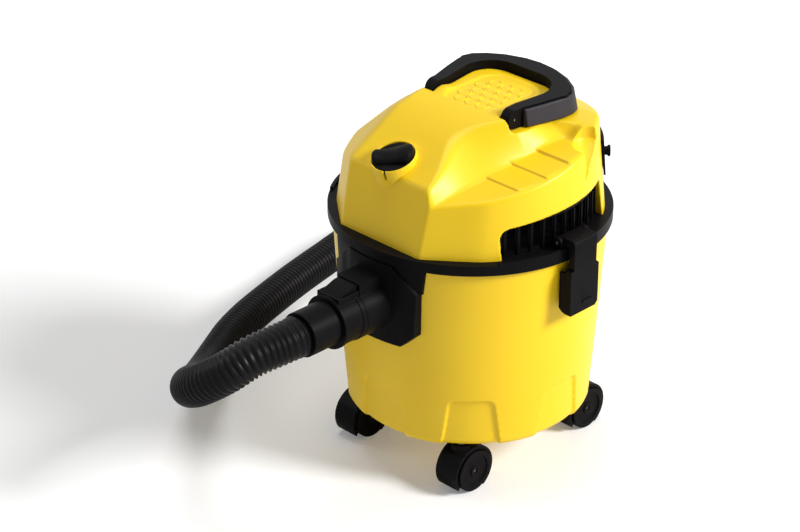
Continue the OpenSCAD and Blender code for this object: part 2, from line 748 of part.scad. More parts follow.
module motor_bracket() placed() color(black) difference() {
    union() {
        ring(stator_r + 4, stator_r, bracket_z, bracket_top);
        ring(stator_r + 4, motor_bearing_r, bracket_z, bracket_z + 3);
        ring(motor_bearing_r + 4, motor_bearing_r, bracket_z, bracket_z + bearing_w);
        ring(stator_r + 4, motor_bearing_r, bracket_top - 3, bracket_top);
    }
    for (i = [0:5]) rotate(i * 60 + 30) {
        translate([20, -8, bracket_z - 1]) cube([14, 16, 5]);
        translate([20, -8, bracket_top - 4]) cube([14, 16, 5]);
    }
    for (i = [0:3]) rotate(i * 90 + 45)
        translate([stator_r - 8, -14, armature_z + armature_l + 2]) cube([20, 28, 12]);
}

module motor_stator() placed() color(steel)
    ring(stator_r, armature_r + 0.6, armature_z, armature_z + armature_l);

module motor_bearings() placed() color(steel) {
    ring(motor_bearing_r, shaft_r + running_gap, bracket_z, bracket_z + bearing_w);
    ring(motor_bearing_r, shaft_r + running_gap, bracket_top - bearing_w, bracket_top);
}

module brush_holders() placed() color("#8d6a3a") for (side = [-1, 1])
    block([-5, side * 12.6, commutator_z + 2], [5, side * (stator_r - 0.7), commutator_z + 10]);

module motor_shaft() placed() color(steel) ring(shaft_r, 0, motor_z + 4, bracket_top + 10);

module motor_armature() placed() color("#a5603a")
    ring(armature_r, shaft_r, armature_z, armature_z + armature_l);

module commutator() placed() color("#b87333")
    ring(12, shaft_r, commutator_z, commutator_z + commutator_l);

module cooling_fan() placed() color(black) {
    ring(8, shaft_r, bracket_top + 2, bracket_top + 9);
    intersection() {
        ring(26, 7, bracket_top + 2, bracket_top + 9);
        for (i = [0:7]) rotate(i * 45) translate([0, -0.8, bracket_top + 2]) cube([30, 1.6, 7]);
    }
}

// ---------------------------------------------------------------- filter and float

cage_top = seal_top - 6;
cage_bottom = cage_top - filter_h - 2;
float_z = cage_bottom + 3.4;

module filter_cage() placed() color(black) difference() {
    union() {
        ring(cage_r + 3, cage_r, cage_bottom, cage_top);
        ring(cage_r + 3, 14, cage_bottom, cage_bottom + 3);
    }
    for (i = [0:7]) rotate(i * 45 + 22.5)
        translate([cage_r - 4, -10, cage_bottom + 8]) cube([12, 20, filter_h - 14]);
}

pleats = 60;

module cartridge_filter() placed() color("#e9e4d6") difference() {
    translate([0, 0, cage_bottom + 1]) linear_extrude(filter_h) polygon(
        [for (i = [0:2 * pleats - 1]) let (a = i * 180 / pleats, r = i % 2 == 0 ? filter_r : filter_r - 4)
            [r * cos(a), r * sin(a)]]);
    translate([0, 0, cage_bottom - 10]) cylinder(r = cage_r + 3.5, h = filter_h + 40);
}

module filter_cap() placed() color(black) {
    ring(filter_r + 1, 0, cage_bottom - 4, cage_bottom);
    intersection() {
        ring(14, 0, cage_bottom - 18, cage_bottom - 4);
        translate([-14, -4, cage_bottom - 18]) cube([28, 8, 16]);
    }
}

float_r = cage_r - 5;
float_h = 32;
float_wall = 2;

module shutoff_float() placed() color("#d8d8d2") difference() {
    ring(float_r, 0, float_z, float_z + float_h);
    ring(float_r - float_wall, 0, float_z - 1, float_z + float_h - float_wall);
}

// ---------------------------------------------------------------- carry handle

handle_span = handle_half_gap + handle_w + 50;
pin_reach = handle_half_gap + 13.5;

// Half the outline of the handle's outer edge: x past the arm's width, y as a share of the reach
function handle_outline(grow) = concat(
    [for (p = [[-2, -0.123], [-1, 0.088], [6, 0.316], [11, 0.509], [12, 0.596], [8, 0.702],
            [-4, 0.807], [-22, 0.904], [-46, 0.974]]) let (straight = p[1] < 0.55)
        [handle_half_gap + handle_w + p[0] + grow * (straight ? 1 : 0.7),
            pivot_y + p[1] * handle_reach + grow * (straight ? 0 : 0.8)]],
    [[0, handle_rear_y + grow]]);

function mirrored(points) = [for (i = [len(points) - 1:-1:0]) [-points[i][0], points[i][1]]];

grip_t = 4;

module carry_handle() placed() color(black) translate([0, 0, plate_top]) difference() {
    intersection() {
        translate([0, 0, deck_h]) linear_extrude(80) difference() {
            polygon(concat(handle_outline(-grip_t), mirrored(handle_outline(-grip_t))));
            polygon(tray_plan(1, pivot_y - 60));
        }
        union() {
            bar_x(handle_t / 2, -handle_span, handle_span, y = pivot_y, z = pivot_h);
            translate([-handle_span, 0, 0]) rotate([90, 0, 90]) linear_extrude(2 * handle_span) polygon([
                [pivot_y, pivot_h - handle_t / 2], [handle_rear_y + 10, pivot_h - handle_t / 2],
                [handle_rear_y + 10, pivot_h + handle_t / 2 + 3.8], [pivot_y, pivot_h + handle_t / 2]]);
        }
    }
    bar_x(handle_pin_r, -pin_reach, pin_reach, y = pivot_y, z = pivot_h);
}

// Softer band round the outside of the handle
function without_last(points) = [for (i = [0:len(points) - 2]) points[i]];
function without_first(points) = [for (i = [1:len(points) - 1]) points[i]];
function whole_band(grow) = let (half = without_first(handle_outline(grow)))
    concat(half, mirrored(without_last(half)));
function band_top(p) = pivot_h + handle_t / 2 - 2
    + 3.8 * (p[1] - pivot_y) / (handle_rear_y + 10 - pivot_y);
function band_low(p) = pivot_h - handle_t / 2 + 1;

module handle_grip() placed() color(grip_grey) translate([0, 0, plate_top]) {
    inner = whole_band(0.05 - grip_t);
    outer_top = whole_band(0);
    outer_low = whole_band(4);
    n = len(inner);
    polyhedron(
        points = concat([for (p = inner) [p[0], p[1], band_top(p)]],
            [for (p = outer_top) [p[0], p[1], band_top(p)]],
            [for (p = outer_low) [p[0], p[1], band_low(p)]],
            [for (p = inner) [p[0], p[1], band_low(p)]]),
        faces = concat(
            [for (j = [0:3], i = [0:n - 2]) let (k = (j + 1) % 4)
                [j * n + i, j * n + i + 1, k * n + i + 1]],
            [for (j = [0:3], i = [0:n - 2]) let (k = (j + 1) % 4)
                [j * n + i, k * n + i + 1, k * n + i]],
            [[0, n, 2 * n, 3 * n], [4 * n - 1, 3 * n - 1, 2 * n - 1, n - 1]]));
}

module handle_pins() placed() color(steel) both_sides()
    bar_x(handle_pin_r, bearing_x0, pin_reach, y = pivot_y, z = plate_top + pivot_h);

module handle_bearings() placed() color(black) both_sides() difference() {
    bar_x(bearing_r, bearing_x0, handle_half_gap - 0.6, y = pivot_y, z = plate_top + pivot_h);
    bar_x(handle_pin_r + running_gap, bearing_x0 - 1, handle_half_gap + 2,
        y = pivot_y, z = plate_top + pivot_h);
}

// ---------------------------------------------------------------- hose

mouth_y = -stub_reach - seat_gap;
cuff_y = mouth_y - connector_l;
tube_y = cuff_y - cuff_l;
lock_w = 28;
lock_travel = 2;

module hose_connector() placed() color(black) translate([0, 0, inlet_z]) difference() {
    union() {
        bar_y(stub_bore_r - slide_gap, -stub_reach - 5, -stub_reach + 34);
        bar_y(stub_r, mouth_y - 6, mouth_y);
        bar_y(stub_r - 1.2, cuff_y + 5, mouth_y);
        bar_y(stub_r, cuff_y, cuff_y + 5.5);
        block([-lock_w / 2 - 3, cuff_y + 3, 12], [lock_w / 2 + 3, mouth_y, stub_r + 1.4]);
    }
    bar_y(hose_bore_r, -300, 0);
    block([-lock_w / 2 - seat_gap, cuff_y + 5.5, stub_r - 4.4],
        [lock_w / 2 + seat_gap, mouth_y + 1, stub_r + 5]);
}

lock_floor = stub_r - 4.4;

module lock_button() placed() color(black) translate([0, 0, inlet_z]) {
    rotate([90, 0, 90]) translate([0, 0, -lock_w / 2]) linear_extrude(lock_w) polygon([
        [mouth_y - 0.5, lock_floor + lock_travel + 0.6], [mouth_y - 0.5, stub_r + 7.5],
        [mouth_y - 7, stub_r + 7.5], [cuff_y + 8, stub_r + 1.4], [cuff_y + 6, stub_r],
        [cuff_y + 6, lock_floor + lock_travel + 0.6]]);
    for (y = [mouth_y - 11, mouth_y - 15, mouth_y - 19])
        block([-9, y - 0.8, stub_r + 1], [9, y + 0.8, stub_r + 7.5 + (y - mouth_y + 7) * 0.35]);
    block([-tongue_w / 2, mouth_y - 2, stub_r + 3.2], [tongue_w / 2, -stub_reach + 10, stub_r + 6.4]);
}

module lock_spring() placed() color(steel) translate([0, mouth_y - 14, inlet_z])
    ring(4, 3, lock_floor + 0.05, lock_floor + lock_travel + 0.55);

module hose_cuff() placed() color(black) translate([0, 0, inlet_z]) difference() {
    bar_y(hose_r + 2, tube_y, cuff_y - 0.05);
    bar_y(hose_bore_r, -400, 0);
}

// The route of the hose on the floor, from the cuff on, in the frame of the drum axis
route = [[0, tube_y, 229], [-3, -282, 227], [-15, -316, 219], [-34, -338, 200], [-65, -345, 176],
    [-100, -331, 152], [-135, -304, 127], [-170, -273, 101], [-203, -241, 76], [-234, -209, 55],
    [-262, -178, 39], [-287, -146, 29], [-309, -112, 25], [-330, -75, 24], [-348, -30, 24],
    [-364, 23, 24], [-379, 79, 24], [-393, 141, 24], [-406, 205, 24], [-405, 269, 24],
    [-387, 328, 24], [-346, 366, 24], [-294, 371, 24], [-250, 341, 24], [-214, 301, 24],
    [-170, 274, 24], [-122, 272, 24]];

function spline(a, b, c, d, t) = 0.5 * (2 * b + (c - a) * t + (2 * a - 5 * b + 4 * c - d) * t * t
    + (3 * b - a - 3 * c + d) * t * t * t);
function route_at(i, t) = spline(i > 0 ? route[i - 1] : 2 * route[0] - route[1], route[i], route[i + 1],
    i + 2 < len(route) ? route[i + 2] : 2 * route[i + 1] - route[i], t);

hose_sides = 12;
hose_line = concat([for (i = [0:len(route) - 2], t = [0, 0.5]) route_at(i, t)],
    [route[len(route) - 1]]);

// A tube along a line; its first and last rings are square to the two given directions
module sweep_tube(line, r_out, r_in, first_way, last_way) {
    n = len(line);
    m = hose_sides;
    rings = [for (r = [r_out, r_in], i = [0:n - 1]) let (
            d = i == 0 ? first_way : i == n - 1 ? last_way : line[i + 1] - line[i - 1],
            side = cross(d, [0, 0, 1]) / norm(cross(d, [0, 0, 1])),
            up = cross(side, d) / norm(d))
        for (k = [0:m - 1]) line[i] + r * (cos(k * 360 / m) * side + sin(k * 360 / m) * up)];
    q = n * m;
    polyhedron(points = rings, faces = concat(
        [for (i = [0:n - 2], k = [0:m - 1]) let (j = (k + 1) % m)
            [i * m + k, i * m + j, (i + 1) * m + j, (i + 1) * m + k]],
        [for (i = [0:n - 2], k = [0:m - 1]) let (j = (k + 1) % m)
            [q + i * m + k, q + (i + 1) * m + k, q + (i + 1) * m + j, q + i * m + j]],
        [for (k = [0:m - 1]) let (j = (k + 1) % m) [k, q + k, q + j, j]],
        [for (k = [0:m - 1]) let (j = (k + 1) % m, e = (n - 1) * m)
            [e + k, e + j, q + e + j, q + e + k]]));
}

hose_end = route[len(route) - 1];
hose_way = hose_end - route_at(len(route) - 2, 0.9);
hose_heading = atan2(hose_way[1], hose_way[0]);

module hose_tube() placed() color(black)
    sweep_tube(hose_line, hose_r, hose_bore_r, [0, -1, 0], [cos(hose_heading), sin(hose_heading), 0]);

module hose_end_cuff() placed() color(black)
    translate(hose_end) rotate([0, 90, hose_heading]) difference() {
    union() {
        translate([0, 0, 0.3]) cylinder(r = hose_r, h = 18);
        translate([0, 0, 18]) cylinder(r = end_cuff_r, h = end_cuff_l - 18);
    }
    translate([0, 0, -1]) cylinder(r = end_cuff_r - 2.5, h = end_cuff_l + 2);
}

// ---------------------------------------------------------------- casters

bush_r = stem_d / 2 + 3.5;
socket_h = 28;
axle_z = wheel_d / 2;
hood_r = wheel_d / 2 + 5;
hood_half_w = caster_w / 2 - 2.5;
web_half_w = caster_w / 2 - wheel_w - 0.5;
neck_r = bush_r + 5;

module at_caster(sx, sy) placed() translate([sx * caster_x, sy * caster_y, 0]) children();

module caster_bushes() color(steel) for (sx = [-1, 1], sy = [-1, 1]) at_caster(sx, sy)
    ring(bush_r, stem_d / 2 + running_gap, drum_z, drum_z + socket_h);

module caster_housing() color(black) difference() {
    union() {
        difference() {
            bar_x(hood_r, -hood_half_w, hood_half_w, y = caster_trail, z = axle_z);
            bar_x(wheel_d / 2 + 1, web_half_w, 40, y = caster_trail, z = axle_z);
            bar_x(wheel_d / 2 + 1, -40, -web_half_w, y = caster_trail, z = axle_z);
            translate([-40, caster_trail - 40, axle_z - 50]) rotate([-25, 0, 0]) cube([80, 90, 46]);
        }
        intersection() {
            bar_x(12, -web_half_w, web_half_w, y = caster_trail, z = axle_z);
            block([-40, -40, 0], [40, 60, 60]);
        }
        ring(neck_r, 0, wheel_d + 1.2, drum_z - swing_gap);
    }
    translate([0, 0, wheel_d - 8]) cylinder(r = stem_d / 2, h = 30);
    bar_x(axle_d / 2 + running_gap, -30, 30, y = caster_trail, z = axle_z);
}

module caster_stem() color(steel) ring(stem_d / 2, 0, wheel_d - 8, drum_z + socket_h - 1);

module caster_axle() color(steel)
    bar_x(axle_d / 2, -caster_w / 2 + 2, caster_w / 2 - 2, y = caster_trail, z = axle_z);

module caster_wheels() color(black) both_sides() difference() {
    bar_x(wheel_d / 2, caster_w / 2 - wheel_w, caster_w / 2, y = caster_trail, z = axle_z);
    bar_x(axle_d / 2, 0, 40, y = caster_trail, z = axle_z);
    difference() {
        bar_x(wheel_d / 2 - 6, caster_w / 2 - 1.6, 40, y = caster_trail, z = axle_z);
        bar_x(7, 0, 50, y = caster_trail, z = axle_z);
    }
}

module caster_front_right_housing() at_caster(1, -1) caster_housing();
module caster_front_right_stem() at_caster(1, -1) caster_stem();
module caster_front_right_axle() at_caster(1, -1) caster_axle();
module caster_front_right_wheels() at_caster(1, -1) caster_wheels();
module caster_front_left_housing() at_caster(-1, -1) caster_housing();
module caster_front_left_stem() at_caster(-1, -1) caster_stem();
module caster_front_left_axle() at_caster(-1, -1) caster_axle();
module caster_front_left_wheels() at_caster(-1, -1) caster_wheels();
module caster_rear_right_housing() at_caster(1, 1) caster_housing();
module caster_rear_right_stem() at_caster(1, 1) caster_stem();
module caster_rear_right_axle() at_caster(1, 1) caster_axle();
module caster_rear_right_wheels() at_caster(1, 1) caster_wheels();
module caster_rear_left_housing() at_caster(-1, 1) caster_housing();
module caster_rear_left_stem() at_caster(-1, 1) caster_stem();
module caster_rear_left_axle() at_caster(-1, 1) caster_axle();
module caster_rear_left_wheels() at_caster(-1, 1) caster_wheels();

tank_drum();
inlet_plate();
inlet_deflector();
latch_keepers();
caster_bushes();
head_base();
rim_seal();
head_cover();
rear_panel();
cable_hooks();
cable_gland();
head_screws();
switch_body();
fan_housing();
motor_gasket();
motor_bracket();
motor_stator();
motor_bearings();
brush_holders();
motor_shaft();
motor_armature();
commutator();
fan_impeller();
cooling_fan();
filter_cage();
cartridge_filter();
filter_cap();
shutoff_float();
carry_handle();
handle_grip();
handle_pins();
handle_bearings();
switch_knob();
latch_right();
latch_left();
latch_pins();
hose_connector();
lock_button();
lock_spring();
hose_cuff();
hose_tube();
hose_end_cuff();
caster_front_right_housing();
caster_front_right_stem();
caster_front_right_axle();
caster_front_right_wheels();
caster_front_left_housing();
caster_front_left_stem();
caster_front_left_axle();
caster_front_left_wheels();
caster_rear_right_housing();
caster_rear_right_stem();
caster_rear_right_axle();
caster_rear_right_wheels();
caster_rear_left_housing();
caster_rear_left_stem();
caster_rear_left_axle();
caster_rear_left_wheels();
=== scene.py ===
# %% [markdown]
# # A compact wet and dry vacuum cleaner
# The machine is a moulded yellow drum on four twin-wheel casters, under a motor head that
# lifts off. Everything here is built in one frame: millimetres about the drum's axis, with
# +Z up and the hose inlet on the -Y side. Each piece is turned into metres as it is made.

# %% The frame
import itertools
import json
import math

import bmesh
import bpy
import numpy as np
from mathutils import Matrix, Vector


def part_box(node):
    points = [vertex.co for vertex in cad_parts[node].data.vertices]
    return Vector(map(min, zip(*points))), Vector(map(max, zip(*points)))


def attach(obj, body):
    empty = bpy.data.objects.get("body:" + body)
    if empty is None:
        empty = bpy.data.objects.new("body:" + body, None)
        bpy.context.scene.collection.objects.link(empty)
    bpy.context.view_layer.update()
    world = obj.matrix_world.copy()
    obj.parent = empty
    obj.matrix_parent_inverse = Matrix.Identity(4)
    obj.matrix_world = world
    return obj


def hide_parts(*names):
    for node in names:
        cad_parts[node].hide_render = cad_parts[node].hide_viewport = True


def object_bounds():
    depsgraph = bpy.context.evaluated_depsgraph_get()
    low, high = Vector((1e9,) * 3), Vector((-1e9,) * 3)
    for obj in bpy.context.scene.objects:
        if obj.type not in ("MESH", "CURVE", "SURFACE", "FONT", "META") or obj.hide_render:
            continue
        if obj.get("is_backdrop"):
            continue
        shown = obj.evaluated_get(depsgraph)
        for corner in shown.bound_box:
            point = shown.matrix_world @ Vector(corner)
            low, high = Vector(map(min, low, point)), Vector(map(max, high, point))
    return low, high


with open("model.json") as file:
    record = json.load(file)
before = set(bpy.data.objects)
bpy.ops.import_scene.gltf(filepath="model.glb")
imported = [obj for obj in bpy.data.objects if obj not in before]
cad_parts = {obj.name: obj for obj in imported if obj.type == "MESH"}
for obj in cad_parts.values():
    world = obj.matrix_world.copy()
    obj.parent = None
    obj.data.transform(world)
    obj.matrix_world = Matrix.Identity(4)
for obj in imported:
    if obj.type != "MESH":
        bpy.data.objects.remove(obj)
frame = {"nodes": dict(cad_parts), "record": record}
cad_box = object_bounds()
record = frame["record"]
bodies = record["behaviour"]["bodies"]
body_of_node = {node: body for body, nodes in bodies.items() for node in nodes}
slot_of_node = {part["node"]: part["material_slot"] for part in record["subparts"]}
MM = 0.001
axis_y = sum(corner[1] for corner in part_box("tank_drum")) / 2 / MM


def corners(node):
    """Lowest and highest corner of a solid, in millimetres about the drum's axis."""
    low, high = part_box(node)
    shift = np.array([0, axis_y, 0])
    return np.array(low) / MM - shift, np.array(high) / MM - shift


drum_low, drum_high = corners("tank_drum")
plate_top = corners("head_cover")[0][2]
print("drum axis stands at y =", round(axis_y, 2), "mm; head base top at", round(plate_top, 1))

# %% [markdown]
# ## Camera
# A long lens from the front right and well above keeps the verticals nearly parallel.

# %% Camera
view_from = np.array([1646.3, -1757.4, 1492.0])
view_to = np.array([-55.6, -55.6, 214.1])


def placed(point):
    """A point about the drum's axis in millimetres, as a point of the scene in metres."""
    return Vector((point[0] * MM, (point[1] + axis_y) * MM, point[2] * MM))


camera_data = bpy.data.cameras.new("camera")
camera_data.lens = 108  # millimetres, for a film width of 36
camera_data.sensor_width = 36
camera = bpy.data.objects.new("camera", camera_data)
camera.location = placed(view_from)
camera.rotation_euler = (placed(view_to) - placed(view_from)).to_track_quat("-Z", "Y").to_euler()
bpy.context.scene.collection.objects.link(camera)
bpy.context.scene.camera = camera
bpy.context.scene.view_settings.view_transform = "Standard"

# %% [markdown]
# ## Materials
# Four moulded plastics make the look: a glossy yellow ABS, a fine-grained black
# polypropylene, a softer grey-black grip and the hose's polyethylene. Each is a Principled
# shader whose roughness and bump come from noise at the size of real mould grain. One small
# function adds a node with its settings and links, and one turns a written sRGB colour into a
# linear one.


# %% Colour and node helpers
def linear(hex_code):
    """sRGB hex to linear RGBA: each channel through the sRGB curve."""
    srgb = np.array([int(hex_code[i : i + 2], 16) for i in (1, 3, 5)]) / 255
    low = srgb / 12.92
    high = ((srgb + 0.055) / 1.055) ** 2.4
    return (*np.where(srgb <= 0.04045, low, high).tolist(), 1.0)


def add_node(tree, kind, inputs=None, **settings):
    """A node with its settings, and its inputs filled from values or linked from sockets."""
    made = tree.nodes.new(kind)
    for name, value in settings.items():
        setattr(made, name, value)
    for name, value in (inputs or {}).items():
        if isinstance(value, bpy.types.NodeSocket):
            tree.links.new(value, made.inputs[name])
        else:
            made.inputs[name].default_value = value
    return made


def start_material(name):
    """An empty material, its node tree, and the object's own coordinates in metres."""
    material = bpy.data.materials.new(name)
    material.use_nodes = True
    tree = material.node_tree
    tree.nodes.clear()
    place = add_node(tree, "ShaderNodeTexCoord").outputs["Object"]
    return material, tree, place


def end_material(tree, shader):
    """Sends a shader to the material's surface."""
    add_node(tree, "ShaderNodeOutputMaterial", {"Surface": shader.outputs["BSDF"]})


def noise_of(tree, place, grain_mm, detail):
    """Noise with a grain size in millimetres."""
    noise = add_node(tree, "ShaderNodeTexNoise", {
        "Vector": place, "Scale": 1 / (grain_mm * MM), "Detail": detail})
    return noise.outputs["Fac"]


def varied(tree, place, grain_mm, low, high):
    """Noise spread between two values."""
    spread = add_node(tree, "ShaderNodeMapRange", {
        "Value": noise_of(tree, place, grain_mm, 3.0), "To Min": low, "To Max": high})
    return spread.outputs["Result"]


def tinted(tree, place, grain_mm, dark, light):
    """Two near colours mixed by wide, soft noise, so that a large moulding isn't one flat tone."""
    share, first, second, mixed = 0, 6, 7, 2  # the sockets of a mix node that mixes colours
    mix = add_node(tree, "ShaderNodeMix", {
        share: noise_of(tree, place, grain_mm, 2.0), first: linear(dark), second: linear(light)},
        data_type="RGBA")
    return mix.outputs[mixed]


def grained(tree, place, grain_mm, depth_mm, strength):
    """Bump from noise at the size of the mould's grain."""
    bump = add_node(tree, "ShaderNodeBump", {
        "Height": noise_of(tree, place, grain_mm, 4.0), "Distance": depth_mm * MM,
        "Strength": strength})
    return bump.outputs["Normal"]


# %% Moulded plastics
def moulded_abs_yellow():
    """ABS from a polished mould: even colour, broad soft highlights, faint orange peel."""
    material, tree, place = start_material("moulded_abs_yellow")
    shader = add_node(tree, "ShaderNodeBsdfPrincipled", {
        "Base Color": tinted(tree, place, 90, "#F4C912", "#F9D31E"),
        "Roughness": varied(tree, place, 14, 0.34, 0.42),
        "IOR": 1.53,
        "Specular IOR Level": 0.3,
        "Normal": grained(tree, place, 1.6, 0.02, 0.25),
    })
    end_material(tree, shader)
    return material


def grained_polypropylene_black():
    """Black polypropylene from a spark-eroded mould: matt, with a fine grain that catches light."""
    material, tree, place = start_material("grained_polypropylene_black")
    shader = add_node(tree, "ShaderNodeBsdfPrincipled", {
        "Base Color": tinted(tree, place, 30, "#0B0A0C", "#100F11"),
        "Roughness": varied(tree, place, 2.5, 0.36, 0.48),
        "IOR": 1.49,
        "Specular IOR Level": 0.05,
        "Normal": grained(tree, place, 0.9, 0.03, 0.35),
    })
    end_material(tree, shader)
    return material


def soft_touch_grip_grey():
    """Thermoplastic rubber over the handle: greyer and duller than the black plastic."""
    material, tree, place = start_material("soft_touch_grip_grey")
    shader = add_node(tree, "ShaderNodeBsdfPrincipled", {
        "Base Color": tinted(tree, place, 20, "#2A272C", "#322F34"),
        "Roughness": varied(tree, place, 2.0, 0.50, 0.62),
        "IOR": 1.5,
        "Specular IOR Level": 0.25,
        "Normal": grained(tree, place, 0.8, 0.03, 0.4),
    })
    end_material(tree, shader)
    return material


def blown_polyethylene_hose():
    """Black polyethylene hose: a slight shine on each rib."""
    material, tree, place = start_material("blown_polyethylene_hose")
    shader = add_node(tree, "ShaderNodeBsdfPrincipled", {
        "Base Color": tinted(tree, place, 40, "#0C0B0D", "#111012"),
        "Roughness": varied(tree, place, 6, 0.30, 0.42),
        "IOR": 1.51,
        "Specular IOR Level": 0.1,
        "Normal": grained(tree, place, 1.5, 0.02, 0.2),
    })
    end_material(tree, shader)
    return material


def turned_steel():
    """Bright turned steel: fine rings of roughness."""
    material, tree, place = start_material("turned_steel")
    shader = add_node(tree, "ShaderNodeBsdfPrincipled", {
        "Base Color": linear("#B9BCC0"),
        "Metallic": 1.0,
        "Roughness": varied(tree, place, 0.8, 0.28, 0.42),
    })
    end_material(tree, shader)
    return material


def pressed_aluminium():
    """Thin pressed aluminium sheet of the fan wheel."""
    material, tree, place = start_material("pressed_aluminium")
    shader = add_node(tree, "ShaderNodeBsdfPrincipled", {
        "Base Color": linear("#C9CBCD"),
        "Metallic": 1.0,
        "Roughness": varied(tree, place, 3, 0.3, 0.45),
    })
    end_material(tree, shader)
    return material


def enamelled_copper():
    """Copper winding wire under clear enamel."""
    material, tree, place = start_material("enamelled_copper")
    shader = add_node(tree, "ShaderNodeBsdfPrincipled", {
        "Base Color": tinted(tree, place, 2, "#9C5A33", "#B8703F"),
        "Metallic": 1.0,
        "Roughness": varied(tree, place, 0.7, 0.25, 0.4),
    })
    end_material(tree, shader)
    return material


def nitrile_rubber():
    """Black nitrile rubber seal: matt and slightly dusty."""
    material, tree, place = start_material("nitrile_rubber")
    shader = add_node(tree, "ShaderNodeBsdfPrincipled", {
        "Base Color": tinted(tree, place, 12, "#161616", "#202020"),
        "Roughness": varied(tree, place, 2, 0.65, 0.8),
        "Normal": grained(tree, place, 0.7, 0.03, 0.4),
    })
    end_material(tree, shader)
    return material


def pleated_filter_paper():
    """Off-white filter paper with short fibres."""
    material, tree, place = start_material("pleated_filter_paper")
    shader = add_node(tree, "ShaderNodeBsdfPrincipled", {
        "Base Color": tinted(tree, place, 3, "#DDD6C2", "#EEE9DA"),
        "Roughness": varied(tree, place, 1, 0.8, 0.95),
        "Normal": grained(tree, place, 0.5, 0.05, 0.6),
    })
    end_material(tree, shader)
    return material


def natural_polyethylene():
    """Uncoloured milky polyethylene of the float."""
    material, tree, place = start_material("natural_polyethylene")
    shader = add_node(tree, "ShaderNodeBsdfPrincipled", {
        "Base Color": tinted(tree, place, 15, "#D5D5CC", "#E3E3DA"),
        "Roughness": varied(tree, place, 3, 0.4, 0.5),
    })
    end_material(tree, shader)
    return material


finishes = {
    "yellow_plastic": moulded_abs_yellow(),
    "black_plastic": grained_polypropylene_black(),
    "grip_plastic": soft_touch_grip_grey(),
    "hose_plastic": blown_polyethylene_hose(),
    "seal_rubber": nitrile_rubber(),
    "steel": turned_steel(),
    "aluminium": pressed_aluminium(),
    "copper": enamelled_copper(),
    "filter_paper": pleated_filter_paper(),
    "float_plastic": natural_polyethylene(),
}
for name, solid in frame["nodes"].items():
    solid.data.materials.clear()
    solid.data.materials.append(finishes[slot_of_node[name]])
print("materials:", ", ".join(m.name for m in finishes.values()))

# %% [markdown]
# ## Making pieces
# Most pieces are grids of points worked out with numpy. These helpers turn a grid into a
# mesh, place it, and tie it to the solid that it stands for.


# %% Mesh helpers
def grid_faces(rows, cols, wrap_rows=False, wrap_cols=True):
    """Quads of a grid of points stored row by row, closed across either way."""
    r = np.arange(rows if wrap_rows else rows - 1)
    c = np.arange(cols if wrap_cols else cols - 1)
    r, c = np.meshgrid(r, c, indexing="ij")
    r2, c2 = (r + 1) % rows, (c + 1) % cols
    return np.stack([r * cols + c, r * cols + c2, r2 * cols + c2, r2 * cols + c], -1).reshape(-1, 4)


def add_piece(name, points, faces, node, sharp=0):
    """A mesh from points about the drum's axis; it rides with the solid of its node."""
    mesh = bpy.data.meshes.new(name)
    place = np.asarray(points, float).reshape(-1, 3) * MM + np.array([0, axis_y * MM, 0])
    faces = faces.tolist() if isinstance(faces, np.ndarray) else faces
    mesh.from_pydata(place.tolist(), [], faces)
    mesh.update()
    mesh.polygons.foreach_set("use_smooth", np.ones(len(mesh.polygons), bool))
    if sharp:
        mesh.set_sharp_from_angle(angle=math.radians(sharp))
    made = bpy.data.objects.new(name, mesh)
    bpy.context.scene.collection.objects.link(made)
    mesh.materials.append(finishes[slot_of_node[node]])
    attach(made, body_of_node[node])
    return made


def point_outwards(piece):
    """Merges a closed piece's doubles and turns its faces outwards."""
    work = bmesh.new()
    work.from_mesh(piece.data)
    bmesh.ops.remove_doubles(work, verts=work.verts, dist=1e-6)
    bmesh.ops.recalc_face_normals(work, faces=work.faces)
    work.to_mesh(piece.data)
    work.free()


def softened(node, radius):
    """A copy of a solid with its doubles merged and its crisp edges rounded by a bevel."""
    crisp = math.radians(32)
    solid = frame["nodes"][node]
    mesh = solid.data.copy()
    work = bmesh.new()
    work.from_mesh(mesh)
    bmesh.ops.remove_doubles(work, verts=work.verts, dist=2e-6)
    bmesh.ops.dissolve_limit(work, angle_limit=math.radians(1), verts=work.verts, edges=work.edges)
    work.to_mesh(mesh)
    work.free()
    mesh.polygons.foreach_set("use_smooth", np.ones(len(mesh.polygons), bool))
    mesh.set_sharp_from_angle(angle=crisp)
    made = bpy.data.objects.new(node + "_moulded", mesh)
    bpy.context.scene.collection.objects.link(made)
    mesh.materials.clear()
    mesh.materials.append(finishes[slot_of_node[node]])
    bevel = made.modifiers.new("soft_edges", "BEVEL")
    bevel.width = radius * MM
    bevel.segments = 2
    bevel.limit_method = "ANGLE"
    bevel.angle_limit = crisp
    bevel.harden_normals = True
    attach(made, body_of_node[node])
    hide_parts(node)
    return made


def smooth_step(a, b, x):
    """0 before a, 1 after b, and a cubic with level ends between: t^2 (3 - 2t)."""
    t = np.clip((x - a) / (b - a), 0, 1)
    return t * t * (3 - 2 * t)


def smax(a, b, k):
    """The larger of two, rounded over a width k where they are near each other."""
    return np.maximum(a, b) + np.maximum(k - np.abs(a - b), 0) ** 2 / (4 * k)


def smin(a, b, k):
    """The smaller of two, rounded in the same way."""
    return -smax(-a, -b, k)


# %% [markdown]
# ## The hose
# A suction hose is a thin tube with a rib every few millimetres. It leaves the cuff level,
# drops to the floor in one bend, runs back beside the machine and ends behind it. The tube
# is a ring carried along a smooth curve, and its radius swells at each rib.

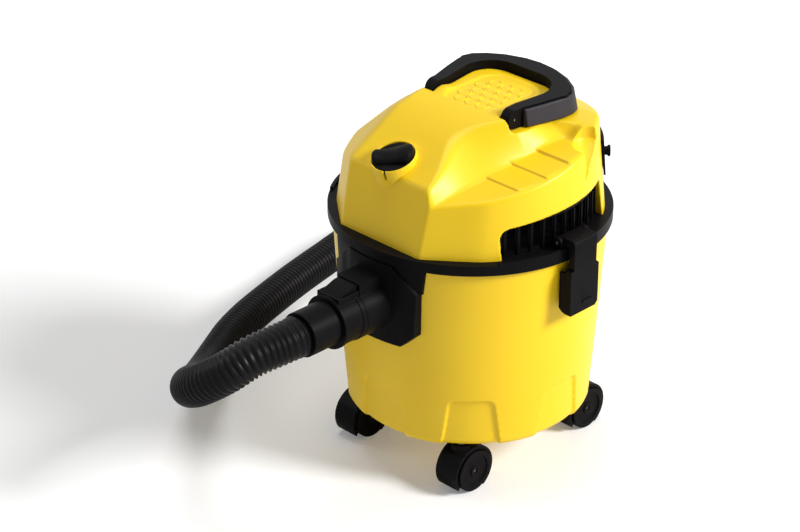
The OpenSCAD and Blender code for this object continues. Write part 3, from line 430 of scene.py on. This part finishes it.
# %% Hose
inlet_z = 229
mouth_y = corners("hose_cuff")[0][1]
hose_route = np.array([
    [0, mouth_y, inlet_z], [-3, -282, 227], [-15, -316, 219], [-34, -338, 200], [-65, -345, 176],
    [-100, -331, 152], [-135, -304, 127], [-170, -273, 101], [-203, -241, 76], [-234, -209, 55],
    [-262, -178, 39], [-287, -146, 29], [-309, -112, 25], [-330, -75, 24], [-348, -30, 24],
    [-364, 23, 24], [-379, 79, 24], [-393, 141, 24], [-406, 205, 24], [-405, 269, 24],
    [-387, 328, 24], [-346, 366, 24], [-294, 371, 24], [-250, 341, 24], [-214, 301, 24],
    [-170, 274, 24], [-122, 272, 24]])
rib_pitch = 6.2
rib_crest, rib_root, bore_r = 23.1, 20.4, 19.0


def spline(route, steps):
    """Catmull-Rom curve through a route: each span is a cubic of its four nearest points."""
    ends = np.vstack([2 * route[0] - route[1], route, 2 * route[-1] - route[-2]])
    a, b, c, d = ends[:-3, None], ends[1:-2, None], ends[2:-1, None], ends[3:, None]
    t = np.linspace(0, 1, steps, endpoint=False)[None, :, None]
    squared, cubed = 2 * a - 5 * b + 4 * c - d, 3 * b - a - 3 * c + d
    curve = 0.5 * (2 * b + (c - a) * t + squared * t**2 + cubed * t**3)
    return np.vstack([curve.reshape(-1, 3), route[-1:]])


def evenly(line, spacing):
    """A line's points again, at equal steps of length along it."""
    along = np.concatenate([[0], np.cumsum(np.linalg.norm(np.diff(line, axis=0), axis=1))])
    at = np.linspace(0, along[-1], int(along[-1] / spacing) + 1)
    return np.stack([np.interp(at, along, line[:, i]) for i in range(3)], 1), at


# the first and last ring stand square to the cuffs, so that the tube's ends close on them
first_way = [0, -1, 0]
last_way = hose_route[-1] - spline(hose_route, 10)[-2]


def swept(line, radii, sides):
    """Rings about a line: each stands square to it, and its sideways axis stays level."""
    way = np.gradient(line, axis=0)
    way[0], way[-1] = first_way, last_way
    way /= np.linalg.norm(way, axis=1)[:, None]
    side = np.cross(way, [0, 0, 1])
    side /= np.linalg.norm(side, axis=1)[:, None]
    up = np.cross(side, way)
    a = np.linspace(0, 2 * np.pi, sides, endpoint=False)
    ring = np.cos(a)[None, :, None] * side[:, None] + np.sin(a)[None, :, None] * up[:, None]
    return line[:, None] + radii[:, None, None] * ring


def hose_tube():
    """Ribs: radius = root + (crest - root) x a raised cosine of the length over the pitch."""
    sides, rings_per_rib, bore_rings = 36, 6, 240
    line, at = evenly(spline(hose_route, 40), rib_pitch / rings_per_rib)
    wave = (0.5 - 0.5 * np.cos(2 * np.pi * at / rib_pitch)) ** 0.7
    outside = swept(line, rib_root + (rib_crest - rib_root) * wave, sides)
    bore_line = line[np.linspace(0, len(line) - 1, bore_rings).astype(int)]
    inside = swept(bore_line, np.full(bore_rings, bore_r), sides)[::-1]
    rows = np.concatenate([outside, inside])
    made = add_piece("hose_ribbed", rows, grid_faces(len(rows), sides, wrap_rows=True), "hose_tube")
    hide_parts("hose_tube")
    point_outwards(made)
    return made, line, at[-1]


hose, hose_line, hose_length = hose_tube()
print("hose length:", round(hose_length), "mm;", len(hose.data.polygons), "faces")

# %% [markdown]
# ## The drum
# The drum is one thin moulding that draws in slightly towards its foot. Round the foot are
# shallow pressed panels, which stiffen the wall. One formula gives the radius at any turn
# and height: a cone, less a panel's depth where the point lies inside a panel's outline.

# %% Drum
drum_top, drum_floor = drum_high[2], drum_low[2]
drum_top_r, drum_bottom_r = 155.0, 141.0
drum_corner, drum_wall = 10.0, 3.5
panel_count, panel_height, panel_deep = 8, 62.0, 3.0
panel_top_half, panel_foot_half = 24.5, 33.0
inlet_hole_r = 26.5


def drum_cone(z):
    """Radius of the plain drum at a height."""
    return drum_bottom_r + (drum_top_r - drum_bottom_r) * (z - drum_floor) / (drum_top - drum_floor)


foot_r = drum_cone(drum_floor + drum_corner) - drum_corner


def panel_inset(turn, z):
    """Depth of the pressed panels: full inside a rounded trapezoid, easing out over its edge."""
    step = 2 * np.pi / panel_count
    across = (np.mod(turn + step / 2, step) - step / 2) * drum_cone(z)
    up = (z - drum_floor) / panel_height
    half = panel_foot_half + (panel_top_half - panel_foot_half) * up
    edge = smax(np.abs(across) - half, z - (drum_floor + panel_height), 9)
    return panel_deep * smooth_step(1.1, -1.1, edge)


def drum_outside():
    """Radii and heights of the outside: a quarter round at the foot, then the leaning wall."""
    corner_top = drum_floor + drum_corner
    bend = np.linspace(-90, 0, 9)[:-1] * np.pi / 180
    z = np.concatenate([
        corner_top + drum_corner * np.sin(bend),
        np.arange(corner_top, drum_floor + panel_height + 8, 1.3),
        np.linspace(drum_floor + panel_height + 10, drum_top - 1.2, 12)])[:, None]
    round_foot = np.sqrt(np.maximum(drum_corner**2 - np.maximum(corner_top - z, 0) ** 2, 0))
    lean = (drum_cone(z) - drum_cone(corner_top)) * (z > corner_top)
    return foot_r + round_foot + lean, z


def drum_shell():
    """Rows of rings: up the outside, over the rounded top edge, and down the inside."""
    turns, pole_r = 560, 1.0
    turn = np.linspace(0, 2 * np.pi, turns, endpoint=False)[None, :]
    r_out, z_out = drum_outside()
    edge_in = np.array([[0.3], [1.2], [drum_wall - 1.2], [drum_wall - 0.3]])
    edge_down = np.array([[0.35], [0.0], [0.0], [0.35]])
    z_in = np.array([[drum_top - 4], *([drum_floor + up] for up in (80, 20, 8, drum_wall))])
    r_in = drum_cone(z_in) - drum_wall
    r_in[-1] = foot_r
    r_plain = np.concatenate([drum_cone(drum_top) - edge_in, r_in, [[pole_r]]])
    r = np.concatenate([np.full((1, turns), pole_r), r_out - panel_inset(turn, z_out),
        np.repeat(r_plain, turns, 1)])
    z = np.concatenate([[[drum_floor]], z_out, drum_top - edge_down, z_in, z_in[-1:]])
    points = np.stack([r * np.sin(turn), -r * np.cos(turn), np.repeat(z, turns, 1)], -1)
    made = add_piece("drum_moulding", points, grid_faces(len(points), turns), "tank_drum", sharp=50)
    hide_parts("tank_drum")
    close_poles_and_open_inlet(made, turns)
    point_outwards(made)
    return made


def close_poles_and_open_inlet(piece, turns):
    """Closes the small first and last ring, and cuts the hole behind the inlet."""
    work = bmesh.new()
    work.from_mesh(piece.data)
    verts = list(work.verts)
    for ring in (verts[:turns], verts[-turns:]):
        work.faces.new(ring)
    inlet, front = Vector((0, inlet_z * MM)), (axis_y - 100) * MM
    middles = {f: f.calc_center_median() for f in work.faces}
    cut = [f for f, middle in middles.items()
        if middle.y < front and (middle.xz - inlet).length < inlet_hole_r * MM]
    bmesh.ops.delete(work, geom=cut, context="FACES")
    work.to_mesh(piece.data)
    work.free()


drum = drum_shell()
print("drum:", len(drum.data.polygons), "faces")

# %% [markdown]
# ## The head cover
# The cover is the machine's face: a leaning front, flats at its corners, a crown that climbs
# to the rear, a scooped shelf with three steps on one side, and a well for the handle. It is
# written as one rule that is negative inside the plastic and positive outside. Faces are
# joined by a rounded maximum, so every edge gets a real fillet. The surface is then found on
# a fine grid and each point is moved exactly onto it. Heights are above the cover's hem.

# %% The cover's rule
skirt_r = 150.0
face_y, face_lean = 143.6, 0.233
flat_turn, flat_reach, flat_lean = math.radians(38.7), 149, 0.16
brow_y, brow_h, brow_slope = 126.5, 74, 0.51
deck_h, crown_h = 107.0, 121.5
shelf_h, shelf_slope = 84, 0.2
step_fronts, step_rise, step_run = (-57, -23.5, 10), 2.2, 33
tray_half, tray_rear, tray_round, panel_sink = 50, 88, 35.0, 1.5
pivot_y, boss_rise = 2.0, 2.6
pocket_x = 95
hold_foot, hold_rise = 61, 32
switch_at = np.array([-8.0, -113.0, 88.0])
switch_tilt = math.radians(20)
cup_outer_r, cup_inner_r, cup_mid_r, cup_deep, cup_stand = 25.9, 23.9, 24.9, 10.5, 1.5


def wall_level(x, y, h):
    """Round wall, leaning in less at the rear; in front it stands clear of the flats."""
    rho = np.hypot(x, y) + 1e-3
    side = y / rho
    foot = skirt_r + 60 * np.maximum(-side - 0.78, 0)
    lean = 0.13 - np.where(side > 0, 0.05, 0.018) * side
    return rho - (foot - h * lean)


def front_level(y, h):
    """The flat face, leaning back as it rises; 0.97 is about the cosine of its lean."""
    return (-y - face_y + face_lean * h) * 0.97


def corner_level(x, y, h):
    """A second flat between the face and each side."""
    out = np.abs(x) * math.sin(flat_turn) - y * math.cos(flat_turn)
    return out - flat_reach + flat_lean * h


def shelf_height(y):
    """The shelf climbs to the rear; steps is the extra height of its three treads."""
    slope = shelf_h + shelf_slope * y + 10.0 * smooth_step(44, 62, y)
    steps = sum(step_rise * smooth_step(s - 0.6, s + 0.6, y) * np.clip(1 - (y - s) / step_run, 0, 1)
        for s in step_fronts)
    return slope, steps


def scoop_wall(x, y):
    """The wall above the shelf rises from a straight foot, most gently beside the middle."""
    foot = 87 + 0.18 * y
    steepness = 0.83 + 0.0003 * np.minimum(y + 62, 58) ** 2 - 1.2 * smooth_step(-10, 45, y)
    return steepness * (foot - x)


def top_surface(x, y):
    """Two front slopes and a flat, falling a little towards the sides."""
    front = smin(brow_h + brow_slope * (y + brow_y), 108 + 0.33 * (y + 60), 3)
    fall = np.maximum(0, np.maximum(0.65 * (-63 - x), 0.2 * (x - 63)))
    return smin(front, crown_h - fall, 8)


def crown(x, y):
    """Height of the top, cut by the shelf on +X and a slope on -X, and falling at the rear."""
    shelf, steps = shelf_height(y)
    tread = shelf + steps * smooth_step(-1, -7, wall_level(x, y, shelf))
    right = smax(tread, shelf + scoop_wall(x, y), 2.5)
    left = 58.5 + 0.86 * (143 + x) + 0.27 * (y + 10) - 0.27 * np.maximum(-50 - y, 0)
    top = smin(top_surface(x, y), np.where(x < 0, left, right), 7)
    return smin(top, 113 - 0.35 * (y - 78), 8)


def tray_panel(x, y):
    """Outline of the panel pressed into the tray, negative inside it."""
    return smax(np.abs(x) - 38, smax(-16 - y, y - 75, 14), 22)


def tray_surface(x, y):
    """The tray carries the crown on to the rear, and its panel lies a little lower."""
    return top_surface(x, y) - panel_sink * smooth_step(1, -3, tray_panel(x, y))


def island_level(x, y):
    """Outline of the tray: straight sides that spread a little, and a rounded rear."""
    a = np.abs(x) - (tray_half + 0.156 * np.maximum(y - 14, 0)) + tray_round
    b = y - tray_rear + tray_round
    corner = np.hypot(np.maximum(a, 0), np.maximum(b, 0))
    return corner + np.minimum(np.maximum(a, b), 0) - tray_round


def switch_frame(x, y, h):
    """Coordinates in the tilted frame of the switch: across, along, and out of its face."""
    x, y, h = x - switch_at[0], y - switch_at[1], h - switch_at[2]
    sin_t, cos_t = math.sin(switch_tilt), math.cos(switch_tilt)
    return x, y * cos_t + h * sin_t, h * cos_t - y * sin_t


def arch_level(x, y, h):
    """The opening over each side grille, negative inside it."""
    top = h - (40.5 + 0.05 * y - 0.0006 * np.minimum(y, 0) ** 2)
    front = -82 - y + 0.02 * h
    rear = y - (76 - 0.11 * h)
    return smax(smax(smax(front, top, 12), rear, 4), pocket_x - np.abs(x), 1)


def hold_level(x, y, h):
    """The thumb hold at the end of the shelf: a leaning cylinder that widens upwards."""
    up = np.clip((h - hold_foot) / hold_rise, 0, 1)
    hold_r = 2.8 + 15.2 * smooth_step(0, 1.1, up) ** 1.5
    return smax(np.hypot(x - (138 - 12 * up), y - (35 + 17 * up)) - hold_r, hold_foot - h, 1)


def cover_level(x, y, h):
    """The whole cover: its body with the well cut across it, the tray, and the openings."""
    sides = smax(smax(wall_level(x, y, h), front_level(y, h), 2), corner_level(x, y, h), 2)
    body = smax(sides, (h - crown(x, y)) * 0.85, 4)
    body = smax(body, smin(h - deck_h, y + 10, 3), 1.5)
    # the tray stands in the well, and rises a little over the handle's two bushes
    boss = boss_rise * (np.exp(-((y - pivot_y) / 10) ** 2) * smooth_step(30, 42, np.abs(x)))
    island = smax(island_level(x, y), (h - tray_surface(x, y) - boss) * 0.9, 4 - boss)
    island = smax(island, smax(60 - h, -14.0 - y, 1), 1)
    body = np.minimum(body, island)
    # the hole under the switch's cup, the side openings and the thumb hold
    u, v, w = switch_frame(x, y, h)
    body = smax(body, -smax(np.hypot(u, v) - cup_mid_r, -w - cup_deep - 0.4, 1), 0.8)
    body = smax(body, -arch_level(x, y, h), 2.4)
    return smax(body, -hold_level(x, y, h), 1.2)


# %% From a rule to a surface
def net_of(rule, low, high, step):
    """Surface net: a point in each grid cell that the surface crosses, a face per crossed edge."""
    axes = [np.arange(a, b + step, step) for a, b in zip(low, high)]
    inside = rule(*np.meshgrid(*axes, indexing="ij")) < 0
    cell_corners = itertools.product((slice(None, -1), slice(1, None)), repeat=3)
    count = sum(inside[at].astype(np.int8) for at in cell_corners)
    crossed = (count > 0) & (count < 8)
    index = np.full(crossed.shape, -1)
    index[crossed] = np.arange(crossed.sum())
    cells = np.argwhere(crossed)
    points = np.stack([axes[i][cells[:, i]] + step / 2 for i in range(3)], 1)
    faces = []
    for axis in range(3):
        filled, near = np.moveaxis(inside, axis, 0), np.moveaxis(index, axis, 0)
        below, above = filled[:-1, 1:-1, 1:-1], filled[1:, 1:-1, 1:-1]
        around = [near[:, :-1, :-1], near[:, 1:, :-1], near[:, 1:, 1:], near[:, :-1, 1:]]
        quads = np.stack(around, -1)
        turned = -1 if axis == 1 else 1
        faces.append(quads[below & ~above][:, ::turned])
        faces.append(quads[above & ~below][:, ::-turned])
    return points, np.concatenate(faces)


def gradient(rule, points, e):
    """Slope of a rule at each point, by central differences over a length e."""
    rises = [rule(*(points + d).T) - rule(*(points - d).T) for d in np.eye(3) * e]
    return np.stack(rises, 1) / (2 * e)


def onto(rule, points, step, rounds=4):
    """Newton steps: each point moves down the rule's slope until the rule is zero."""
    for _ in range(rounds):
        slope = gradient(rule, points, 0.05)
        size = np.maximum((slope**2).sum(1), 0.05)
        move = -(rule(*points.T) / size)[:, None] * slope
        length = np.linalg.norm(move, axis=1)[:, None]
        points = points + move * np.minimum(1, step / np.maximum(length, 1e-9))
    return points


def relaxed(points, faces):
    """Each point moves half of the way to the middle of its neighbours."""
    total, count = np.zeros_like(points), np.zeros(len(points))
    for i in range(4):
        for j in (1, 3):
            np.add.at(total, faces[:, i], points[faces[:, (i + j) % 4]])
            np.add.at(count, faces[:, i], 1)
    middle = total / np.maximum(count, 1)[:, None]
    return points + 0.5 * (middle - points)


def surface_of(rule, low, high, step, smoothings):
    """A net moved onto its rule, then smoothed and moved back onto it a few times."""
    points, faces = net_of(rule, low, high, step)
    points = onto(rule, points, step)
    for _ in range(smoothings):
        points = onto(rule, relaxed(points, faces), step, 3)
    return points, faces


def way_out(rule, points):
    """Unit slope of a rule, which is the way out of the surface."""
    slope = gradient(rule, points, 0.5)
    return slope / np.maximum(np.linalg.norm(slope, axis=1), 1e-9)[:, None]


def cover_skin():
    """The net runs on below the hem, and a plane cuts it there, so that the hem is straight."""
    low, high = [-154.0, -156.0, -8.0], [154.0, 154.0, 129.0]
    points, faces = surface_of(cover_level, low, high, 2.2, 3)
    mesh = bpy.data.meshes.new("cover_skin")
    mesh.from_pydata(points.tolist(), [], faces.tolist())
    work = bmesh.new()
    work.from_mesh(mesh)
    bpy.data.meshes.remove(mesh)
    bmesh.ops.bisect_plane(work, geom=[*work.verts, *work.edges, *work.faces],
        plane_co=(0, 0, 0), plane_no=(0, 0, 1), clear_inner=True)
    # the side openings are through holes, so the faces at their inner ends go
    middles = {f: np.array(f.calc_center_median()) for f in work.faces}
    pocket_ends = [f for f, middle in middles.items()
        if abs(middle[0]) < pocket_x + 1.5 and arch_level(*middle) < 1.5]
    bmesh.ops.delete(work, geom=pocket_ends, context="FACES")
    work.verts.index_update()
    skin = np.array([v.co for v in work.verts])
    faces = [[v.index for v in f.verts] for f in work.faces]
    hem = [[loop.vert.index, loop.link_loop_next.vert.index]
        for edge in work.edges if edge.is_boundary for loop in edge.link_loops]
    work.free()
    return skin, faces, hem


def cover_shell():
    """Outer skin, the same skin moved in by the wall's thickness, and a lip that joins them."""
    thick = 2.2
    skin, faces, hem = cover_skin()
    out = way_out(cover_level, skin)
    level = out * [1, 1, 0] / np.maximum(np.linalg.norm(out[:, :2], axis=1), 0.3)[:, None]
    inner = skin - thick * np.where(skin[:, 2:] < 0.01, level, out)
    count = len(skin)
    inside = [[i + count for i in reversed(f)] for f in faces]
    lip = [[b, a, a + count, b + count] for a, b in hem]
    points = np.vstack([skin, inner]) + [0, 0, plate_top]
    made = add_piece("head_cover_moulding", points, faces + inside + lip, "head_cover")
    mesh = made.data
    mesh.polygons.foreach_set("use_smooth", np.arange(len(mesh.polygons)) < 2 * len(faces))
    # the rule's own slope as the normals of both skins; the lip stays flat
    vertex_of = np.empty(len(mesh.loops), int)
    mesh.loops.foreach_get("vertex_index", vertex_of)
    normals = np.vstack([out, -out])[vertex_of]
    normals[sum(len(f) for f in faces + inside):] = 0
    mesh.normals_split_custom_set(normals.tolist())
    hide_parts("head_cover")
    return made


cover = cover_shell()
print("head cover:", len(cover.data.polygons), "faces")

# %% [markdown]
# ## Honeycomb in the tray
# The tray's panel has a raised honeycomb so that small things don't slide. Each cell is a low
# ridge that follows a rounded hexagon, and its height is added to the tray's own surface.


# %% Honeycomb
def tray_honeycomb():
    """Ridges: r = cell_r (1 + 0.05 cos 6a) plus a low crowned profile, one ring for each cell."""
    pitch, cell_r, sides, margin = 16.0, 6.9, 48, 8
    columns, rows = np.meshgrid(np.arange(-3, 4), np.arange(-1, 6), indexing="ij")
    x = ((columns + 0.5 * (rows % 2)) * pitch).ravel()
    y = (rows * pitch * math.sqrt(0.75)).ravel()
    kept = tray_panel(x, y) < -margin
    x, y = x[kept][:, None, None], y[kept][:, None, None]
    a = np.linspace(0, 2 * np.pi, sides, endpoint=False)[None, None, :]
    out = np.array([-1.5, -0.8, 0, 0.8, 1.5])[None, :, None]
    rise = np.array([-0.3, 0.55, 0.8, 0.55, -0.3])[None, :, None]
    r = cell_r * (1 + 0.05 * np.cos(6 * a)) + out
    px, py = x + r * np.sin(a), y + r * np.cos(a)
    points = np.stack([px, py, plate_top + tray_surface(px, py) + rise], -1)
    cell = grid_faces(out.size, sides)
    faces = np.concatenate([cell + i * out.size * sides for i in range(len(x))])
    add_piece("tray_honeycomb", points, faces, "head_cover")
    return len(x)


print("honeycomb:", tray_honeycomb(), "cells")

# %% [markdown]
# ## The switch knob
# The knob is a thick bar with a wave along its top, on a disc that fills the cup. It is one
# more rule: a disc, and a bar whose sides and ends are rounded where they meet the top.


# %% Switch knob
knob_r, knob_turn = 23.4, math.radians(34)


def knob_level(u, v, w):
    """The bar and the disc, cut off flat below; the bar widens a little along its length."""
    along = u * math.cos(knob_turn) + v * math.sin(knob_turn)
    across = v * math.cos(knob_turn) - u * math.sin(knob_turn)
    rho = np.hypot(u, v)
    top = cup_stand + 7.0 + 2.0 * np.sin((along - 5) / 8.5) - 0.02 * across**2
    bar = smax(smax(rho - knob_r, np.abs(across) - 12.5 - 0.08 * along, 4), w - top, 4)
    disc = smax(rho - knob_r, w - 0.4, 1)
    return smax(np.minimum(bar, disc), -9.5 - w, 1)


def turned_to_switch(u, v, w):
    """From the switch's tilted frame back to the machine's."""
    sin_t, cos_t = math.sin(switch_tilt), math.cos(switch_tilt)
    turned = np.stack([u, v * cos_t - w * sin_t, v * sin_t + w * cos_t], -1)
    return turned + switch_at + [0, 0, plate_top]


def switch_cup():
    """A lathe profile about the tilted axis; its rim drops into a slot at one bearing."""
    turns, slot_at, slot_half, slot_floor = 288, math.radians(-71), math.radians(3.2), -10
    floor, rim, foot, pole_r = -cup_deep, cup_stand, -24, 0.3
    profile = np.array([
        (pole_r, floor), (cup_inner_r - 0.8, floor), (cup_inner_r, floor + 0.8),
        (cup_inner_r, rim - 0.9), (cup_inner_r + 0.35, rim - 0.25), (cup_inner_r + 0.95, rim),
        (cup_outer_r - 0.95, rim), (cup_outer_r - 0.35, rim - 0.25), (cup_outer_r, rim - 0.9),
        (cup_outer_r + 0.6, foot), (cup_inner_r, foot), (cup_inner_r, floor - 2),
        (pole_r, floor - 2)])
    turn = np.linspace(-np.pi, np.pi, turns, endpoint=False)
    slot = np.abs(turn - slot_at) < slot_half
    w = np.where(slot & (profile[:, 1:] > slot_floor), slot_floor, profile[:, 1:])
    r = np.repeat(profile[:, :1], turns, 1)
    points = turned_to_switch(r * np.cos(turn), r * np.sin(turn), w)
    faces = grid_faces(len(profile), turns, wrap_rows=True)
    made = add_piece("switch_cup", points, faces, "head_cover", sharp=50)
    point_outwards(made)


def switch_knob():
    """The knob's surface, turned from the switch's own frame into the machine's."""
    points, faces = surface_of(knob_level, [-26.0, -26.0, -12.0], [26.0, 26.0, 13.0], 0.8, 2)
    placed_points = turned_to_switch(*points.T)
    made = add_piece("switch_knob_moulding", placed_points, faces, "switch_knob", sharp=50)
    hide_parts("switch_knob")
    return made


switch_cup()
knob = switch_knob()
print("switch knob:", len(knob.data.polygons), "faces")

# %% [markdown]
# ## Black mouldings
# The rim, latches, inlet, connector, handle and casters are prismatic mouldings, and their
# solids already have the right shape. What a mould adds is a small radius on every edge,
# which is what catches the light, so each gets a copy with bevelled edges.

# %% Mouldings with soft edges
edge_radius = {
    "inlet_plate": 1.2, "inlet_deflector": 0.8, "latch_keepers": 0.8, "head_base": 0.5,
    "rear_panel": 0.6, "cable_hooks": 1.2, "cable_gland": 0.8, "carry_handle": 2.2,
    "handle_grip": 1.6, "latch_right": 1.3, "latch_left": 1.3,
    "hose_connector": 0.8, "lock_button": 1.2, "hose_cuff": 0.8, "hose_end_cuff": 0.8,
    "switch_body": 0.5, "motor_bracket": 0.5, "filter_cap": 1.0,
}
for corner in ("front_right", "front_left", "rear_right", "rear_left"):
    edge_radius[f"caster_{corner}_housing"] = 1.0
    edge_radius[f"caster_{corner}_wheels"] = 1.2
moulded = {node: softened(node, radius) for node, radius in edge_radius.items()}
print("softened:", len(moulded), "mouldings")

# %% [markdown]
# ## Studio
# A pale floor, one large soft key light from the right, a weaker fill from the left and a
# soft light from above. The camera sees the floor turn to plain white away from the machine,
# where it meets a white surround, which also shows in the gloss.


# %% Floor, lights and surround
def studio_floor():
    """Pale paper; to the camera alone it is lit up to full white with distance, in metres."""
    reach, lift_starts, lift_ends, least_lift = 12.0, 0.7, 1.7, 0.17
    mesh = bpy.data.meshes.new("studio_floor")
    edge = [(-reach, -reach, 0), (reach, -reach, 0), (reach, reach, 0), (-reach, reach, 0)]
    mesh.from_pydata(edge, [], [(0, 1, 2, 3)])
    made = bpy.data.objects.new("studio_floor", mesh)
    bpy.context.scene.collection.objects.link(made)
    material, tree, place = start_material("pale_studio_paper")
    rays = add_node(tree, "ShaderNodeLightPath")
    away = add_node(tree, "ShaderNodeVectorMath", {0: place}, operation="LENGTH")
    white = add_node(tree, "ShaderNodeMapRange", {
        "Value": away.outputs["Value"], "From Min": lift_starts, "From Max": lift_ends,
        "To Min": least_lift, "To Max": 1.0}, interpolation_type="SMOOTHSTEP")
    lift = add_node(tree, "ShaderNodeMath", {
        0: rays.outputs["Is Camera Ray"], 1: white.outputs["Result"]}, operation="MULTIPLY")
    shader = add_node(tree, "ShaderNodeBsdfPrincipled", {
        "Base Color": linear("#F4F4F4"), "Roughness": 0.9, "Specular IOR Level": 0.1,
        "Emission Color": (1, 1, 1, 1), "Emission Strength": lift.outputs[0]})
    end_material(tree, shader)
    mesh.materials.append(material)
    made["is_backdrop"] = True


def soft_light(name, place, aim, size, power):
    """A round lamp at a place, aimed at a point; size in metres and power in watts."""
    data = bpy.data.lights.new(name, "AREA")
    data.shape = "DISK"
    data.size = size
    data.energy = power
    made = bpy.data.objects.new(name, data)
    made.location = place
    made.rotation_euler = (Vector(aim) - Vector(place)).to_track_quat("-Z", "Y").to_euler()
    bpy.context.scene.collection.objects.link(made)


def white_surround():
    """White to the camera, in gloss and through clear plastic; a weak light otherwise."""
    weak, full = 0.17, 1.0
    world = bpy.data.worlds.new("white_surround")
    bpy.context.scene.world = world
    world.use_nodes = True
    tree = world.node_tree
    tree.nodes.clear()
    rays = add_node(tree, "ShaderNodeLightPath")
    seen = rays.outputs["Is Camera Ray"]
    for ray in ("Is Glossy Ray", "Is Transmission Ray"):
        seen = add_node(tree, "ShaderNodeMath", {0: seen, 1: rays.outputs[ray]},
            operation="MAXIMUM").outputs[0]
    strength = add_node(tree, "ShaderNodeMapRange", {"Value": seen, "To Min": weak, "To Max": full})
    background = add_node(tree, "ShaderNodeBackground", {
        "Color": (1, 1, 1, 1), "Strength": strength.outputs["Result"]})
    add_node(tree, "ShaderNodeOutputWorld", {"Surface": background.outputs["Background"]})


studio_floor()
soft_light("key", (4.6, 2.2, 3.6), (0, 0, 0.2), 2.0, 430)
soft_light("fill", (-4.4, -2.2, 2.6), (0, 0, 0.25), 2.6, 44)
soft_light("top", (-0.8, 0.2, 6.0), (0, 0, 0.2), 3.2, 110)
white_surround()

# %% Sizes, then the end
seen_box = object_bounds()
for name, box in (("cad", cad_box), ("seen", seen_box)):
    print(name, "box", [[round(v, 4) for v in c] for c in box])
